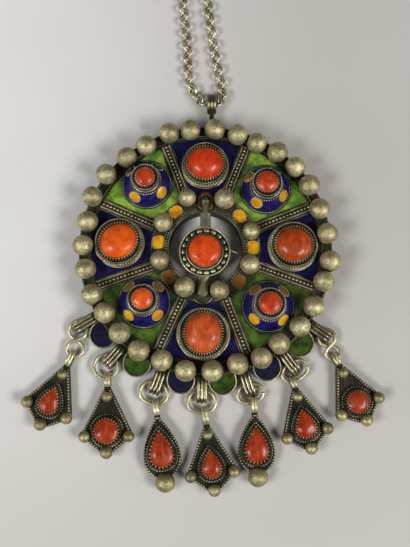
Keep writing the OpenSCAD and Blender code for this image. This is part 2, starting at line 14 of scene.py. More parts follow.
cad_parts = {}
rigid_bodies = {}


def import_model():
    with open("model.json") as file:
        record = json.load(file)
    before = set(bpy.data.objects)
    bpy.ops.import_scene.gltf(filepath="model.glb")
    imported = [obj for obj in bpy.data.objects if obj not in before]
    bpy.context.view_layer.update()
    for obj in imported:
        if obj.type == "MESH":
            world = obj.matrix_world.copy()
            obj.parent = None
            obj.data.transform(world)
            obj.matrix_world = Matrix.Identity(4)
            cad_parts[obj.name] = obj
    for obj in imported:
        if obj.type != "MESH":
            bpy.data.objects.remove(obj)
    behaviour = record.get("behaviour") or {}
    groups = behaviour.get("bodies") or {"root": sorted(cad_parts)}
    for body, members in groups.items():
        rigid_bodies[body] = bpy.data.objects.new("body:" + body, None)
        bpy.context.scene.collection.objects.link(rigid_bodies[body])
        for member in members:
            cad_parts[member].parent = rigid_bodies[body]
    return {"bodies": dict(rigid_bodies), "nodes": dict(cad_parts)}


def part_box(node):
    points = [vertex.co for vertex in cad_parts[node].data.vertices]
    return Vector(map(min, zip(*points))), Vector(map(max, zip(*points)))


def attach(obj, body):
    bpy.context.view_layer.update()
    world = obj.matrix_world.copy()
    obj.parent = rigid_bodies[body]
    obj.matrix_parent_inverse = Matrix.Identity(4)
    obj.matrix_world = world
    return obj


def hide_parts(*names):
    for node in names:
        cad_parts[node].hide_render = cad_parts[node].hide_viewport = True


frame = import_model()

log = logging.getLogger("pectoral")

Pair = tuple[float, float]
Triple = tuple[float, float, float]
Quad = tuple[float, float, float, float]

MM = 0.001
DISC = "disc"
PIN = "pin"


# Driving sizes, in millimetres, the same as the part's own

COLLAR_H = 6.2
ENAMEL_H = 5.4
RIB_H = 6.3
BALL_H = 9.0
BALL_R = 3.6
DOME_H = 13.0
STRAP_Z = 2.7
RING_Z = 2.2
RING_START = 51.3

# Balls of the rim, by angle and radius, and of the opening, with their own radius too
RIM_BALLS = [
    (97.5, 44), (85.5, 44), (74, 43.5), (64, 43), (53, 44), (42, 44), (31, 44), (18.5, 43.5), (6, 44),
    (-7, 45), (-17, 44), (-29.5, 44), (-41, 44), (-53.5, 43.5), (-64, 44.5), (-75, 43.5), (-87, 44.5),
    (-99, 45), (-110.5, 43.5), (-122, 44), (-134, 43.5), (-146, 43), (-156.5, 44), (-169, 43.5),
    (179.5, 44), (168, 43.5), (156, 45), (143.5, 45), (131, 44), (120, 43.5), (107.5, 44.5),
]
INNER_BALLS = [
    (110.5, 19.4, 3.1), (68.5, 18.9, 3.6), (19, 17.4, 3.0), (-22.5, 17.2, 3.4),
    (-72.5, 16.8, 3.3), (-117, 16.6, 3.6), (-163, 17.2, 3.3), (150, 17.6, 3.4),
]
# Angles of the ribs, places of the yellow cells, and angles of the lobes and straps
RIBS = [21.8, 68.5, 111, 156.5, 199.7, 245.5, 291, 339.8]
YELLOW_FIELDS = [(129, 17.2), (43.5, 17.2), (172.8, 17.2), (0.5, 17.2), (-141.5, 17.2), (-46, 17.2)]
YELLOW_R = 2.5
LOBES = [-139.5, -120.5, -100.5, -82.8, -63, -45.5]
STRAPS = [-147.8, -130, -109.5, -91.4, -73, -54, -36.5]

# Trim: slant of a rope's turns in degrees, length, thickness and height of one turn against the rope's width,
# sides of a thin and of a full wire, height of grains and of the painted shade rings in the gaps against
# their width, and the least that a dented ball is larger than its solid
TWIST = 38.0
ROPE_TURN = (0.62, 0.3, 0.46)
THIN_SIDES = 6
FULL_SIDES = 10
HIGH_GRAIN = 0.9
ROUND_GRAIN = 1.0
SHADE_RING_FLAT = 0.5
LEAST_BALL = 1.012

# Radii where the disc's darkening begins and ends: outside and inside of the painted shade under the rim's
# balls, the painted shade in the opening, and the darker land round it
SHADE_RIM = (41.3, 41.9)
SHADE_EDGE = (46.6, 47.2)
SHADE_OPENING = (14.4, 14.9)
DARK_LAND = (19.4, 20.0)

# Colour of dirt specks, then the near-black and brown colours of the painted shade on the yellow cells
DIRT = (0.02, 0.017, 0.012)
SHADE_BLACK = (0.02, 0.016, 0.012)
SHADE_BROWN = (0.17, 0.07, 0.012)


def polar(angle: float, radius: float, z: float = 0.0) -> np.ndarray:
    """Gives the point at an angle in degrees and a radius, at height z."""
    turn = math.radians(angle)
    return np.array([radius * math.cos(turn), radius * math.sin(turn), z])


class Side(Enum):
    """Quarters of the disc that hold a large coral or a dome."""

    N = "n"
    E = "e"
    S = "s"
    W = "w"
    NE = "ne"
    SE = "se"
    SW = "sw"
    NW = "nw"


# Paths

@dataclass
class Path:
    """A line of points with its up direction, in millimetres."""

    points: np.ndarray
    closed: bool = False
    up: Triple = (0.0, 0.0, 1.0)

    def length(self) -> float:
        """Gives the length of the path."""
        return float(self._sums()[-1])

    def _ring(self) -> np.ndarray:
        """Gives the points, with the first one again at the end of a closed path."""
        return np.vstack([self.points, self.points[:1]]) if self.closed else self.points

    def _sums(self) -> np.ndarray:
        """Gives the length of the path up to each of its points."""
        steps = np.linalg.norm(np.diff(self._ring(), axis=0), axis=1)
        return np.concatenate([[0.0], np.cumsum(steps)])

    def at(self, lengths: np.ndarray) -> np.ndarray:
        """Gives the points at some lengths along the path.

        Args:
            lengths: How far along the path each point lies.

        Returns:
            One row for each point.
        """
        ring, sums = self._ring(), self._sums()
        if self.closed:
            lengths = np.mod(lengths, sums[-1])
        return np.stack([np.interp(lengths, sums, ring[:, axis]) for axis in range(3)], axis=1)

    def spaced(self, step: float) -> tuple[np.ndarray, np.ndarray]:
        """Divides the path into equal steps.

        Args:
            step: Wanted distance between two places.

        Returns:
            The places and the direction of the path at each.
        """
        total = self.length()
        count = max(1, round(total / step))
        where = (np.arange(count) + 0.5) * total / count
        low, high = where - step / 4, where + step / 4
        if not self.closed:
            low, high = np.maximum(low, 0), np.minimum(high, total)
        heading = self.at(high) - self.at(low)
        return self.at(where), heading / np.linalg.norm(heading, axis=1, keepdims=True)


def arc(radius: float, z: float, centre: np.ndarray | None = None, start: float = 0.0,
        sweep: float = 360.0) -> Path:
    """Draws a flat arc, or a whole circle, round an upright axis.

    Args:
        radius: Radius of the arc.
        z: Its height.
        centre: Middle of the arc, the disc's own where none is given.
        start: Angle where it starts, in degrees.
        sweep: Angle that it covers, in degrees.

    Returns:
        The path, closed where the sweep is a whole turn.
    """
    middle = np.zeros(3) if centre is None else np.array([centre[0], centre[1], 0.0])
    whole = abs(sweep) >= 360.0
    count = max(8, int(abs(sweep) / 5))
    turns = np.radians(start + np.linspace(0.0, sweep, count, endpoint=not whole))
    ring = np.stack([radius * np.cos(turns), radius * np.sin(turns), np.full(count, z)], axis=1)
    return Path(ring + middle, whole)


def oval(rx: float, ry: float, count: int = 72) -> np.ndarray:
    """Gives the flat outline of an oval, anticlockwise from +X."""
    turns = np.linspace(0.0, 2 * math.pi, count, endpoint=False)
    return np.stack([rx * np.cos(turns), ry * np.sin(turns), np.zeros(count)], axis=1)


def tear(rx: float, ly: float, count: int = 72) -> np.ndarray:
    """Gives the flat outline of a tear with its point at +Y, anticlockwise from the point."""
    turns = np.linspace(0.0, 2 * math.pi, count, endpoint=False)
    across = -rx / 0.77 * np.sin(turns) * np.sin(turns / 2)
    return np.stack([across, ly * np.cos(turns), np.zeros(count)], axis=1)


def inset(outline: np.ndarray, distance: float) -> np.ndarray:
    """Moves every side of a flat anticlockwise outline inwards.

    Args:
        outline: Corners of the outline.
        distance: How far its sides move.

    Returns:
        The corners of the smaller outline.
    """
    moved = []
    count = len(outline)
    for k in range(count):
        before = outline[k] - outline[k - 1]
        after = outline[(k + 1) % count] - outline[k]
        before, after = before / np.linalg.norm(before), after / np.linalg.norm(after)
        normal_a = np.array([-before[1], before[0], 0.0])
        normal_b = np.array([-after[1], after[0], 0.0])
        moved.append(outline[k] + (normal_a + normal_b) * distance / (1.0 + float(normal_a @ normal_b)))
    return np.array(moved)


def placed(points: np.ndarray, middle: np.ndarray, turn: float) -> np.ndarray:
    """Turns flat points about the origin by an angle in degrees, then moves them to a middle."""
    c, s = math.cos(math.radians(turn)), math.sin(math.radians(turn))
    return points @ np.array([[c, s, 0.0], [-s, c, 0.0], [0.0, 0.0, 1.0]]) + middle


# Unit shapes

@dataclass
class Shape:
    """A small mesh that is copied many times: points, faces and how bright each point wears."""

    points: np.ndarray
    corners: np.ndarray
    sizes: np.ndarray
    wear: np.ndarray

    @classmethod
    def taken_from(cls, bm: bmesh.types.BMesh, wear: np.ndarray | None = None) -> "Shape":
        """Reads a bmesh and frees it.

        Args:
            bm: The mesh, with its doubles merged.
            wear: Wear of each point from 0 to 1, from its height where none is given.

        Returns:
            The shape.
        """
        bmesh.ops.recalc_face_normals(bm, faces=bm.faces[:])
        bm.verts.index_update()
        points = np.array([v.co[:] for v in bm.verts])
        corners = np.array([v.index for face in bm.faces for v in face.verts])
        sizes = np.array([len(face.verts) for face in bm.faces])
        bm.free()
        if wear is None:
            low, high = points[:, 2].min(), points[:, 2].max()
            wear = (points[:, 2] - low) / max(high - low, 1e-6)
        return cls(points, corners, sizes, wear)


def bead_shape() -> Shape:
    """Makes a round bead of radius 1 with few faces."""
    bm = bmesh.new()
    bmesh.ops.create_uvsphere(bm, u_segments=8, v_segments=5, radius=1.0)
    return Shape.taken_from(bm)


def ball_shape() -> Shape:
    """Makes a finer ball of radius 1, for balls that get dents."""
    bm = bmesh.new()
    bmesh.ops.create_icosphere(bm, subdivisions=4, radius=1.0)
    return Shape.taken_from(bm)


def tooth_shape() -> Shape:
    """Makes a bezel tooth that stands on its foot at z 0 and narrows to its tip at z 1."""
    bm = bmesh.new()
    bmesh.ops.create_cube(bm, size=1.0)
    bmesh.ops.translate(bm, verts=bm.verts[:], vec=(0.0, 0.0, 0.5))
    tip = [v for v in bm.verts if v.co.z > 0.5]
    bmesh.ops.scale(bm, verts=tip, vec=(0.55, 0.6, 1.0))
    edges = [e for e in bm.edges if any(v in tip for v in e.verts)]
    bmesh.ops.bevel(bm, geom=edges, offset=0.13, offset_type="OFFSET", segments=1, profile=0.5,
                    affect="EDGES", material=-1)
    return Shape.taken_from(bm)


def ring_shape(wire: float, around: int, sides: int) -> Shape:
    """Makes a ring of radius 1 round +Z from a wire.

    Args:
        wire: Radius of the wire against the ring's own.
        around: Steps round the ring.
        sides: Sides of the wire.

    Returns:
        The shape.
    """
    bm = bmesh.new()
    place = Matrix.Translation((1.0, 0.0, 0.0)) @ Matrix.Rotation(math.pi / 2, 4, "X")
    made = bmesh.ops.create_circle(bm, segments=sides, radius=wire, matrix=place)
    edges = list({e for v in made["verts"] for e in v.link_edges})
    bmesh.ops.spin(bm, geom=edges, cent=(0, 0, 0), axis=(0, 0, 1), angle=2 * math.pi, steps=around,
                   use_merge=True)
    bmesh.ops.remove_doubles(bm, verts=bm.verts[:], dist=1e-5)
    points = np.array([v.co[:] for v in bm.verts])
    out, rise = np.hypot(points[:, 0], points[:, 1]) - 1.0, np.abs(points[:, 2])
    return Shape.taken_from(bm, np.clip(0.55 + 0.3 * out / wire + 0.35 * rise / wire, 0, 1))


def cap_shape(upright: float, power: float, around: int = 48, rows: int = 14) -> Shape:
    """Makes a domed stone of radius 1 and height 1 with upright sides.

    Args:
        upright: Share of the height that the upright side takes.
        power: Fullness of the dome, 2 for a round one.
        around: Steps round the stone.
        rows: Steps from the edge to the top.

    Returns:
        The shape, closed under its foot.
    """
    bm = bmesh.new()
    profile = [(0.0, 0.0), (0.9, 0.0), (1.0, upright * 0.5), (1.0, upright)]
    for k in range(1, rows + 1):
        across = math.cos(math.pi / 2 * k / rows)
        profile.append((across, upright + (1 - upright) * (1 - across ** power) ** (1 / power)))
    points = [bm.verts.new((x, 0.0, z)) for x, z in profile]
    edges = [bm.edges.new(pair) for pair in zip(points, points[1:])]
    bmesh.ops.spin(bm, geom=points + edges, cent=(0, 0, 0), axis=(0, 0, 1), angle=2 * math.pi,
                   steps=around, use_merge=True)
    bmesh.ops.remove_doubles(bm, verts=bm.verts[:], dist=1e-4)
    return Shape.taken_from(bm)


def tube_shape(path: Path, radius: float, sides: int = 8, flat: float = 1.0) -> Shape:
    """Sweeps a round wire along a path, by extruding a circle from point to point.

    Args:
        path: The path, in millimetres.
        radius: Radius of the wire.
        sides: Sides of the wire.
        flat: Height of the wire against its width.

    Returns:
        The shape, closed at its ends.
    """
    points = path.points
    count = len(points)
    up = np.array(path.up)
    bm = bmesh.new()
    frames = []
    for k in range(count):
        after = points[(k + 1) % count] if path.closed or k < count - 1 else points[k]
        before = points[k - 1] if path.closed or k > 0 else points[k]
        ahead = Vector(after - before).normalized()
        side = Vector(up).cross(ahead).normalized()
        top = ahead.cross(side)
        frames.append(Matrix((
            (side.x, top.x * flat, ahead.x, points[k][0]), (side.y, top.y * flat, ahead.y, points[k][1]),
            (side.z, top.z * flat, ahead.z, points[k][2]), (0, 0, 0, 1))))
    made = bmesh.ops.create_circle(bm, segments=sides, radius=radius, cap_ends=not path.closed,
                                   matrix=frames[0])
    first = list({e for v in made["verts"] for e in v.link_edges})
    ring = first
    for k in range(1, count):
        grown = bmesh.ops.extrude_edge_only(bm, edges=ring)["geom"]
        moved = [g for g in grown if isinstance(g, bmesh.types.BMVert)]
        bmesh.ops.transform(bm, matrix=frames[k] @ frames[k - 1].inverted(), verts=moved)
        ring = [g for g in grown if isinstance(g, bmesh.types.BMEdge) and all(v in moved for v in g.verts)]
    if path.closed:
        bmesh.ops.bridge_loops(bm, edges=first + ring)
    else:
        bmesh.ops.contextual_create(bm, geom=ring)
    return Shape.taken_from(bm, np.full(len(bm.verts), 0.85))


def faceted_bar(stations: tuple[Quad, ...], foot: float, side: float, flat: float) -> Shape:
    """Shapes a bar that runs down the disc, with a flat top between two slopes.

    Args:
        stations: Place across, place along, half width and rise of the flat top, from end to end.
        foot: Height of its underside.
        side: Height of its sides.
        flat: Share of the width that the flat top takes.

    Returns:
        The shape.
    """
    across = np.array([-1.0, -1.0, -flat, flat, 1.0, 1.0])
    height = np.array([0.0, side, 0.0, 0.0, side, 0.0])
    risen = np.array([0.0, 0.0, 1.0, 1.0, 0.0, 0.0])
    count = len(across)
    bm = bmesh.new()
    made = bmesh.ops.create_circle(bm, segments=count, radius=1.0, cap_ends=True)
    ring = made["verts"]
    edges = list({e for v in ring for e in v.link_edges})
    for k, (x, y, half, rise) in enumerate(stations):
        if k:
            grown = bmesh.ops.extrude_edge_only(bm, edges=edges)["geom"]
            ring = sorted((g for g in grown if isinstance(g, bmesh.types.BMVert)),
                          key=lambda v: order[v.co.to_tuple(6)])
            edges = [g for g in grown
                     if isinstance(g, bmesh.types.BMEdge) and all(v in ring for v in g.verts)]
        for v, a, z in zip(ring, across, foot + height + risen * rise):
            v.co = (x + a * half, y, z)
        order = {v.co.to_tuple(6): n for n, v in enumerate(ring)}
    bmesh.ops.contextual_create(bm, geom=edges)
    return Shape.taken_from(bm, np.full(len(bm.verts), 0.9))


# Gathering many copies into one mesh

class Stock:
    """Copies of shapes, gathered in millimetres and made into one piece of the object."""

    def __init__(self) -> None:
        """Starts with nothing."""
        self.points: list[np.ndarray] = []
        self.corners: list[np.ndarray] = []
        self.sizes: list[np.ndarray] = []
        self.wear: list[np.ndarray] = []
        self.count = 0

    def add(self, shape: Shape, places: np.ndarray | None = None, wear: float = 1.0) -> None:
        """Adds copies of a shape.

        Args:
            shape: What is copied.
            places: A 4 by 4 matrix for each copy, or none for one copy where it is.
            wear: How bright the copies wear, against the shape's own wear.
        """
        if places is None:
            places = np.eye(4)[None]
        copies = len(places)
        spots = np.einsum("nij,kj->nki", places[:, :3, :3], shape.points) + places[:, None, :3, 3]
        steps = self.count + np.arange(copies)[:, None] * len(shape.points)
        self.points.append(spots.reshape(-1, 3))
        self.corners.append((shape.corners[None] + steps).reshape(-1))
        self.sizes.append(np.tile(shape.sizes, copies))
        self.wear.append(np.tile(shape.wear * wear, copies))
        self.count += copies * len(shape.points)

    def tube(self, path: Path, radius: float, sides: int = 8, wear: float = 1.0) -> None:
        """Adds a smooth wire along a path."""
        self.add(tube_shape(path, radius, sides), wear=wear)

    def rope(self, path: Path, width: float, slant: float = TWIST, wear: float = 1.0) -> None:
        """Adds a twisted wire along a path, as a row of slanted beads.

        Args:
            path: The middle of the wire.
            width: Thickness of the twisted wire.
            slant: Angle of its turns against the path, in degrees.
            wear: How bright it wears.
        """
        size = tuple(width * share for share in ROPE_TURN)
        spots, ahead = path.spaced(size[0])
        self.add(BEAD, frames_at(spots, ahead, path.up, size, slant), wear)

    def granules(self, path: Path, width: float, step: float, flat: float = 0.8) -> None:
        """Adds a row of small round grains along a path."""
        spots, ahead = path.spaced(step)
        self.add(BEAD, frames_at(spots, ahead, path.up, (width / 2, width / 2, width / 2 * flat)))

    def teeth(self, path: Path, middle: np.ndarray, count: int, size: Triple, lean: float) -> None:
        """Adds teeth that stand on a closed path and lean to its middle.

        Args:
            path: The line that they stand on.
            middle: The point that they face.
            count: How many there are.
            size: Width, thickness and height of a tooth.
            lean: Angle that they lean inwards, in degrees.
        """
        spots, ahead = path.spaced(path.length() / count)
        inward = np.stack([-ahead[:, 1], ahead[:, 0], np.zeros(len(ahead))], axis=1)
        facing = np.sign(np.sum(inward[:, :2] * (middle[None, :2] - spots[:, :2]), axis=1))
        inward *= facing[:, None]
        tip = math.radians(lean)
        rise = math.sin(tip) * inward + math.cos(tip) * np.array([0.0, 0.0, 1.0])
        depth = np.cross(rise, ahead)
        self.add(TOOTH, stacked(ahead * size[0], depth * size[1], rise * size[2], spots))

    def balls(self, rows: list[tuple[np.ndarray, float]], seed: int, grow: Pair, dent: float = 0.03) -> None:
        """Adds hand-made balls, each turned, uneven and dented in its own way.

        Args:
            rows: Middle and radius of each ball.
            seed: What their dents are drawn from.
            grow: Least and most that a ball is larger than its radius.
            dent: Depth of the dents against the radius.
        """
        draw = np.random.default_rng(seed)
        for middle, radius in rows:
            turn = np.array(Euler(draw.uniform(0, 6.28, 3)).to_matrix())
            way = BALL.points @ turn.T
            swell = np.array([noise.noise(Vector(p) * 1.3 + Vector(middle)) for p in way])
            size = draw.uniform(*grow) + dent * 0.8 * swell
            for _ in range(draw.integers(2, 5)):
                aim = draw.normal(size=3)
                near = way @ (aim / np.linalg.norm(aim))
                size -= dent * np.clip((near - 0.86) / 0.12, 0.0, 1.0) ** 1.5
            size = np.maximum(size, LEAST_BALL)
            ball = Shape(way * (size * radius)[:, None] + middle, BALL.corners, BALL.sizes,
                         np.clip(0.62 + 0.3 * way[:, 2] + 0.4 * swell, 0.0, 1.0))
            self.add(ball)

    def made(self, name: str, finish: bpy.types.Material, slot: str, body: str = DISC,
             replaces: tuple[str, ...] = (), smooth: bool = True) -> bpy.types.Object:
        """Makes the piece, in metres, and joins it to the object.

        Args:
            name: Name of the piece.
            finish: Its material.
            slot: The record's slot that the finish belongs to; not used.
            body: The body that it moves with.
            replaces: Nodes that it stands for.
            smooth: Whether its faces are shaded as one.

        Returns:
            The new object.
        """
        mesh = bpy.data.meshes.new(name)
        points = np.vstack(self.points) * MM
        corners, sizes = np.concatenate(self.corners), np.concatenate(self.sizes)
        mesh.vertices.add(len(points))
        mesh.vertices.foreach_set("co", points.reshape(-1).astype(np.float32))
        mesh.loops.add(len(corners))
        mesh.loops.foreach_set("vertex_index", corners.astype(np.int32))
        mesh.polygons.add(len(sizes))
        starts = np.concatenate([[0], np.cumsum(sizes)[:-1]])
        mesh.polygons.foreach_set("loop_start", starts.astype(np.int32))
        mesh.update(calc_edges=True)
        mesh.polygons.foreach_set("use_smooth", np.full(len(sizes), smooth))
        worn = mesh.attributes.new("wear", "FLOAT", "POINT")
        worn.data.foreach_set("value", np.concatenate(self.wear).astype(np.float32))
        mesh.materials.append(finish)
        piece = bpy.data.objects.new(name, mesh)
        bpy.context.scene.collection.objects.link(piece)
        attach(piece, body)
        if replaces:
            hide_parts(*replaces)
        log.info("%s: %d faces", name, len(sizes))
        return piece


def stacked(x: np.ndarray, y: np.ndarray, z: np.ndarray, at: np.ndarray) -> np.ndarray:
    """Builds a 4 by 4 matrix for each row from its three axes and its place."""
    places = np.zeros((len(at), 4, 4))
    places[:, :3, 0], places[:, :3, 1], places[:, :3, 2], places[:, :3, 3] = x, y, z, at
    places[:, 3, 3] = 1.0
    return places


def frames_at(spots: np.ndarray, ahead: np.ndarray, up: Triple, size: Triple,
              slant: float = 0.0) -> np.ndarray:
    """Places shapes on a path.

    Args:
        spots: Where each one sits.
        ahead: Direction of the path there.
        up: Direction that they face.
        size: Their size along, across and up.
        slant: How far they turn away from the path, in degrees.

    Returns:
        A 4 by 4 matrix for each.
    """
    top = np.broadcast_to(np.array(up, float), ahead.shape)
    side = np.cross(top, ahead)
    side /= np.linalg.norm(side, axis=1, keepdims=True)
    top = np.cross(ahead, side)
    c, s = math.cos(math.radians(slant)), math.sin(math.radians(slant))
    return stacked((c * ahead + s * side) * size[0], (c * side - s * ahead) * size[1], top * size[2], spots)


BEAD = bead_shape()
BALL = ball_shape()
TOOTH = tooth_shape()


# Materials

class Outlet:
    """A node's output that can be used in sums."""

    def __init__(self, recipe: "Recipe", socket: bpy.types.NodeSocket) -> None:
        """Wraps a socket of a recipe."""
        self.recipe = recipe
        self.socket = socket

    def _with(self, operation: str, *values: "Outlet | float") -> "Outlet":
        """Adds a Math node that works on some values."""
        return self.recipe.node("ShaderNodeMath", {"operation": operation}, dict(enumerate(values)))

    def __add__(self, other: "Outlet | float") -> "Outlet":
        """Adds."""
        return self._with("ADD", self, other)

    def __radd__(self, other: float) -> "Outlet":
        """Adds to a number."""
        return self._with("ADD", other, self)

    def __rsub__(self, other: float) -> "Outlet":
        """Subtracts from a number."""
        return self._with("SUBTRACT", other, self)

    def __mul__(self, other: "Outlet | float") -> "Outlet":
        """Multiplies."""
        return self._with("MULTIPLY", self, other)

    def __rmul__(self, other: float) -> "Outlet":
        """Multiplies a number."""
        return self._with("MULTIPLY", other, self)

    def __pow__(self, other: float) -> "Outlet":
        """Raises to a power."""
        return self._with("POWER", self, other)

    def between(self, low: float, high: float) -> "Outlet":
        """Gives 0 at low and under, 1 at high and over, and a smooth rise between."""
        return self.recipe.node("ShaderNodeMapRange", {"interpolation_type": "SMOOTHSTEP"},
                                {"Value": self, "From Min": low, "From Max": high})


class Recipe:
    """A material in the making: its nodes and its shader."""

    def __init__(self, name: str) -> None:
        """Starts a material with a bare shader.

        Args:
            name: Name of the material.
        """
        self.material = bpy.data.materials.new(name)
        self.material.use_nodes = True
        self.nodes = self.material.node_tree.nodes
        self.links = self.material.node_tree.links
        self.shader = self.nodes["Principled BSDF"]
        self.place = self.node("ShaderNodeTexCoord", out="Object")

    def node(self, kind: str, settings: dict | None = None, values: dict | None = None,
             out: str | int = 0) -> Outlet:
        """Adds a node.

        Args:
            kind: The node's type.
            settings: Its settings, such as a Math node's operation.
            values: Numbers, colours or outlets for its sockets, by name or number.
            out: The output that is wanted.

        Returns:
            That output.
        """
        node = self.nodes.new(kind)
        for key, value in (settings or {}).items():
            setattr(node, key, value)
        for key, value in (values or {}).items():
            if isinstance(value, Outlet):
                self.links.new(value.socket, node.inputs[key])
            else:
                node.inputs[key].default_value = value
        return Outlet(self, node.outputs[out])

    def axis(self, name: str) -> Outlet:
        """Gives the place along X, Y or Z, in metres."""
        return self.node("ShaderNodeSeparateXYZ", None, {"Vector": self.place}, name)

    def hollows(self, reach: float) -> Outlet:
        """Gives how open the surface is, 0 deep in a hollow, looking as far as a reach in millimetres."""
        return self.node("ShaderNodeAmbientOcclusion", {"samples": 6}, {"Distance": reach * MM}, "AO")

    def noise(self, size: float, detail: float = 3.0, rough: float = 0.55) -> Outlet:
        """Gives cloudy noise whose blots are about a size in millimetres."""
        values = {"Vector": self.place, "Scale": 1 / (size * MM), "Detail": detail, "Roughness": rough}
        return self.node("ShaderNodeTexNoise", None, values, "Fac")

    def cells(self, size: float) -> Outlet:
        """Gives the distance to scattered points about a size in millimetres apart."""
        return self.node("ShaderNodeTexVoronoi", None,
                         {"Vector": self.place, "Scale": 1 / (size * MM), "Randomness": 1.0}, "Distance")

    def mix(self, share: "Outlet | float", one: "Outlet | tuple", two: "Outlet | tuple") -> Outlet:
        """Mixes two colours.

        Args:
            share: How much of the second one there is.
            one: The first colour.
            two: The second colour.

        Returns:
            The mixed colour.
        """
        node = self.nodes.new("ShaderNodeMix")
        node.data_type = "RGBA"
        node.clamp_factor = True
        for socket, value in ((node.inputs[0], share), (node.inputs[6], one), (node.inputs[7], two)):
            if isinstance(value, Outlet):
                self.links.new(value.socket, socket)
            else:
                socket.default_value = value if isinstance(value, float) else (*value, 1.0)
        return Outlet(self, node.outputs[2])

    def bump(self, height: Outlet, strength: float, depth: float, over: Outlet | None = None) -> Outlet:
        """Turns a height into a normal.

        Args:
            height: The height, from 0 to 1.
            strength: How strongly it shows.
            depth: Its depth in millimetres.
            over: A coarser bump that it lies on.

        Returns:
            The normal.
        """
        values = {"Strength": strength, "Distance": depth * MM, "Height": height}
        if over is not None:
            values["Normal"] = over
        return self.node("ShaderNodeBump", None, values, "Normal")

    def finish(self, **sockets: "Outlet | float | tuple") -> bpy.types.Material:
        """Sets the shader's sockets, with _ for a space in their names, and gives the material."""
        for key, value in sockets.items():
            socket = self.shader.inputs[key.replace("_", " ")]
            if isinstance(value, Outlet):
                self.links.new(value.socket, socket)
            elif isinstance(value, tuple):
                socket.default_value = (*value, 1.0)[:len(socket.default_value)]
            else:
                socket.default_value = value
        return self.material


def shade(colour: Triple, share: float) -> Triple:
    """Darkens a colour to a share of itself."""
    red, green, blue = colour
    return share * red, share * green, share * blue


class Wear(Enum):
    """Where the bright parts of a metal come from."""

    BEADS = "the wear value of each small bead or wire"
    HOLLOWS = "the open faces, with tarnish in the hollows"


@dataclass(frozen=True)
class TarnishedSilver:
    """Old silver, bright where it is rubbed, and nearly black or green in its hollows."""

    name: str
    bright: Triple = (0.60, 0.55, 0.36)
    film: Triple = (0.29, 0.255, 0.15)
    black: Triple = (0.018, 0.015, 0.01)
    green: Triple = (0.035, 0.06, 0.03)
    patina: float = 0.0
    wear: Wear = Wear.BEADS
    hollow: float = 1.4
    gloss: float = 0.3
    speckle: float = 0.3
    metal: float = 1.0
    # Painted shade: blackens the disc under the rim's balls and in the opening, and darkens the land round it
    painted_shade_rings: bool = False
    mottle: float = 0.0
    rough: float = 0.06

    def mixed(self) -> bpy.types.Material:
        """Builds the material."""
        r = Recipe(self.name)
        clouds = r.noise(5.0, 4.0)
        grain = r.noise(0.5, 3.0)
        open_air = r.hollows(self.hollow)
        rubbed = open_air.between(0.35, 0.85)
        if self.wear is Wear.BEADS:
            worn = r.node("ShaderNodeAttribute", {"attribute_name": "wear"}, None, "Fac")
            rubbed = open_air.between(0.2, 0.65) * worn.between(0.1, 0.85)
        patchy = (rubbed * (0.6 + 0.8 * clouds)).between(0.12, 0.85)
        # The painted shade rings pull the disc towards the dark patina colour
        if self.painted_shade_rings:
            patchy = patchy * (1.0 - self._shade_rings_mask(r))
        film = r.mix(clouds.between(0.35, 0.68), self.film, self.bright)
        dirt = r.mix(r.noise(2.0).between(0.4, 0.6) * self.patina, self.black, self.green)
        metal = r.mix(patchy, dirt, film)
        pits = r.cells(1.1).between(0.06, 0.2)
        dust = r.noise(0.35, 2.0).between(0.6, 0.68)
        spots = (1.0 - pits) + dust * 0.7 + r.noise(0.75, 4.0, 0.7).between(0.46, 0.66) * self.mottle
        colour = r.mix(spots * self.speckle, metal, self.black)
        dents = r.bump(r.noise(2.4, 2.0), 0.5, 0.25)
        return r.finish(
            Base_Color=colour,
            Metallic=0.35 + (self.metal - 0.35) * patchy,
            Roughness=(self.gloss + 0.25) - 0.22 * patchy + 0.14 * grain,
            Normal=r.bump(grain, 0.4 + 0.5 * self.mottle, self.rough, dents),
        )

    @staticmethod
    def _shade_rings_mask(r: Recipe) -> Outlet:
        """Gives how black the disc is at a place: painted shade under the rim's balls and in the opening, and
        a darker land round the opening.
        """
        x, y = r.axis("X"), r.axis("Y")
        out = (x * x + y * y) ** 0.5
        past_rim, past_edge, past_opening, past_land = (
            out.between(low * MM, high * MM) for low, high in (SHADE_RIM, SHADE_EDGE, SHADE_OPENING, DARK_LAND))
        return past_rim * (1.0 - past_edge) + 0.9 * (1.0 - past_opening) + 0.5 * (1.0 - past_land)


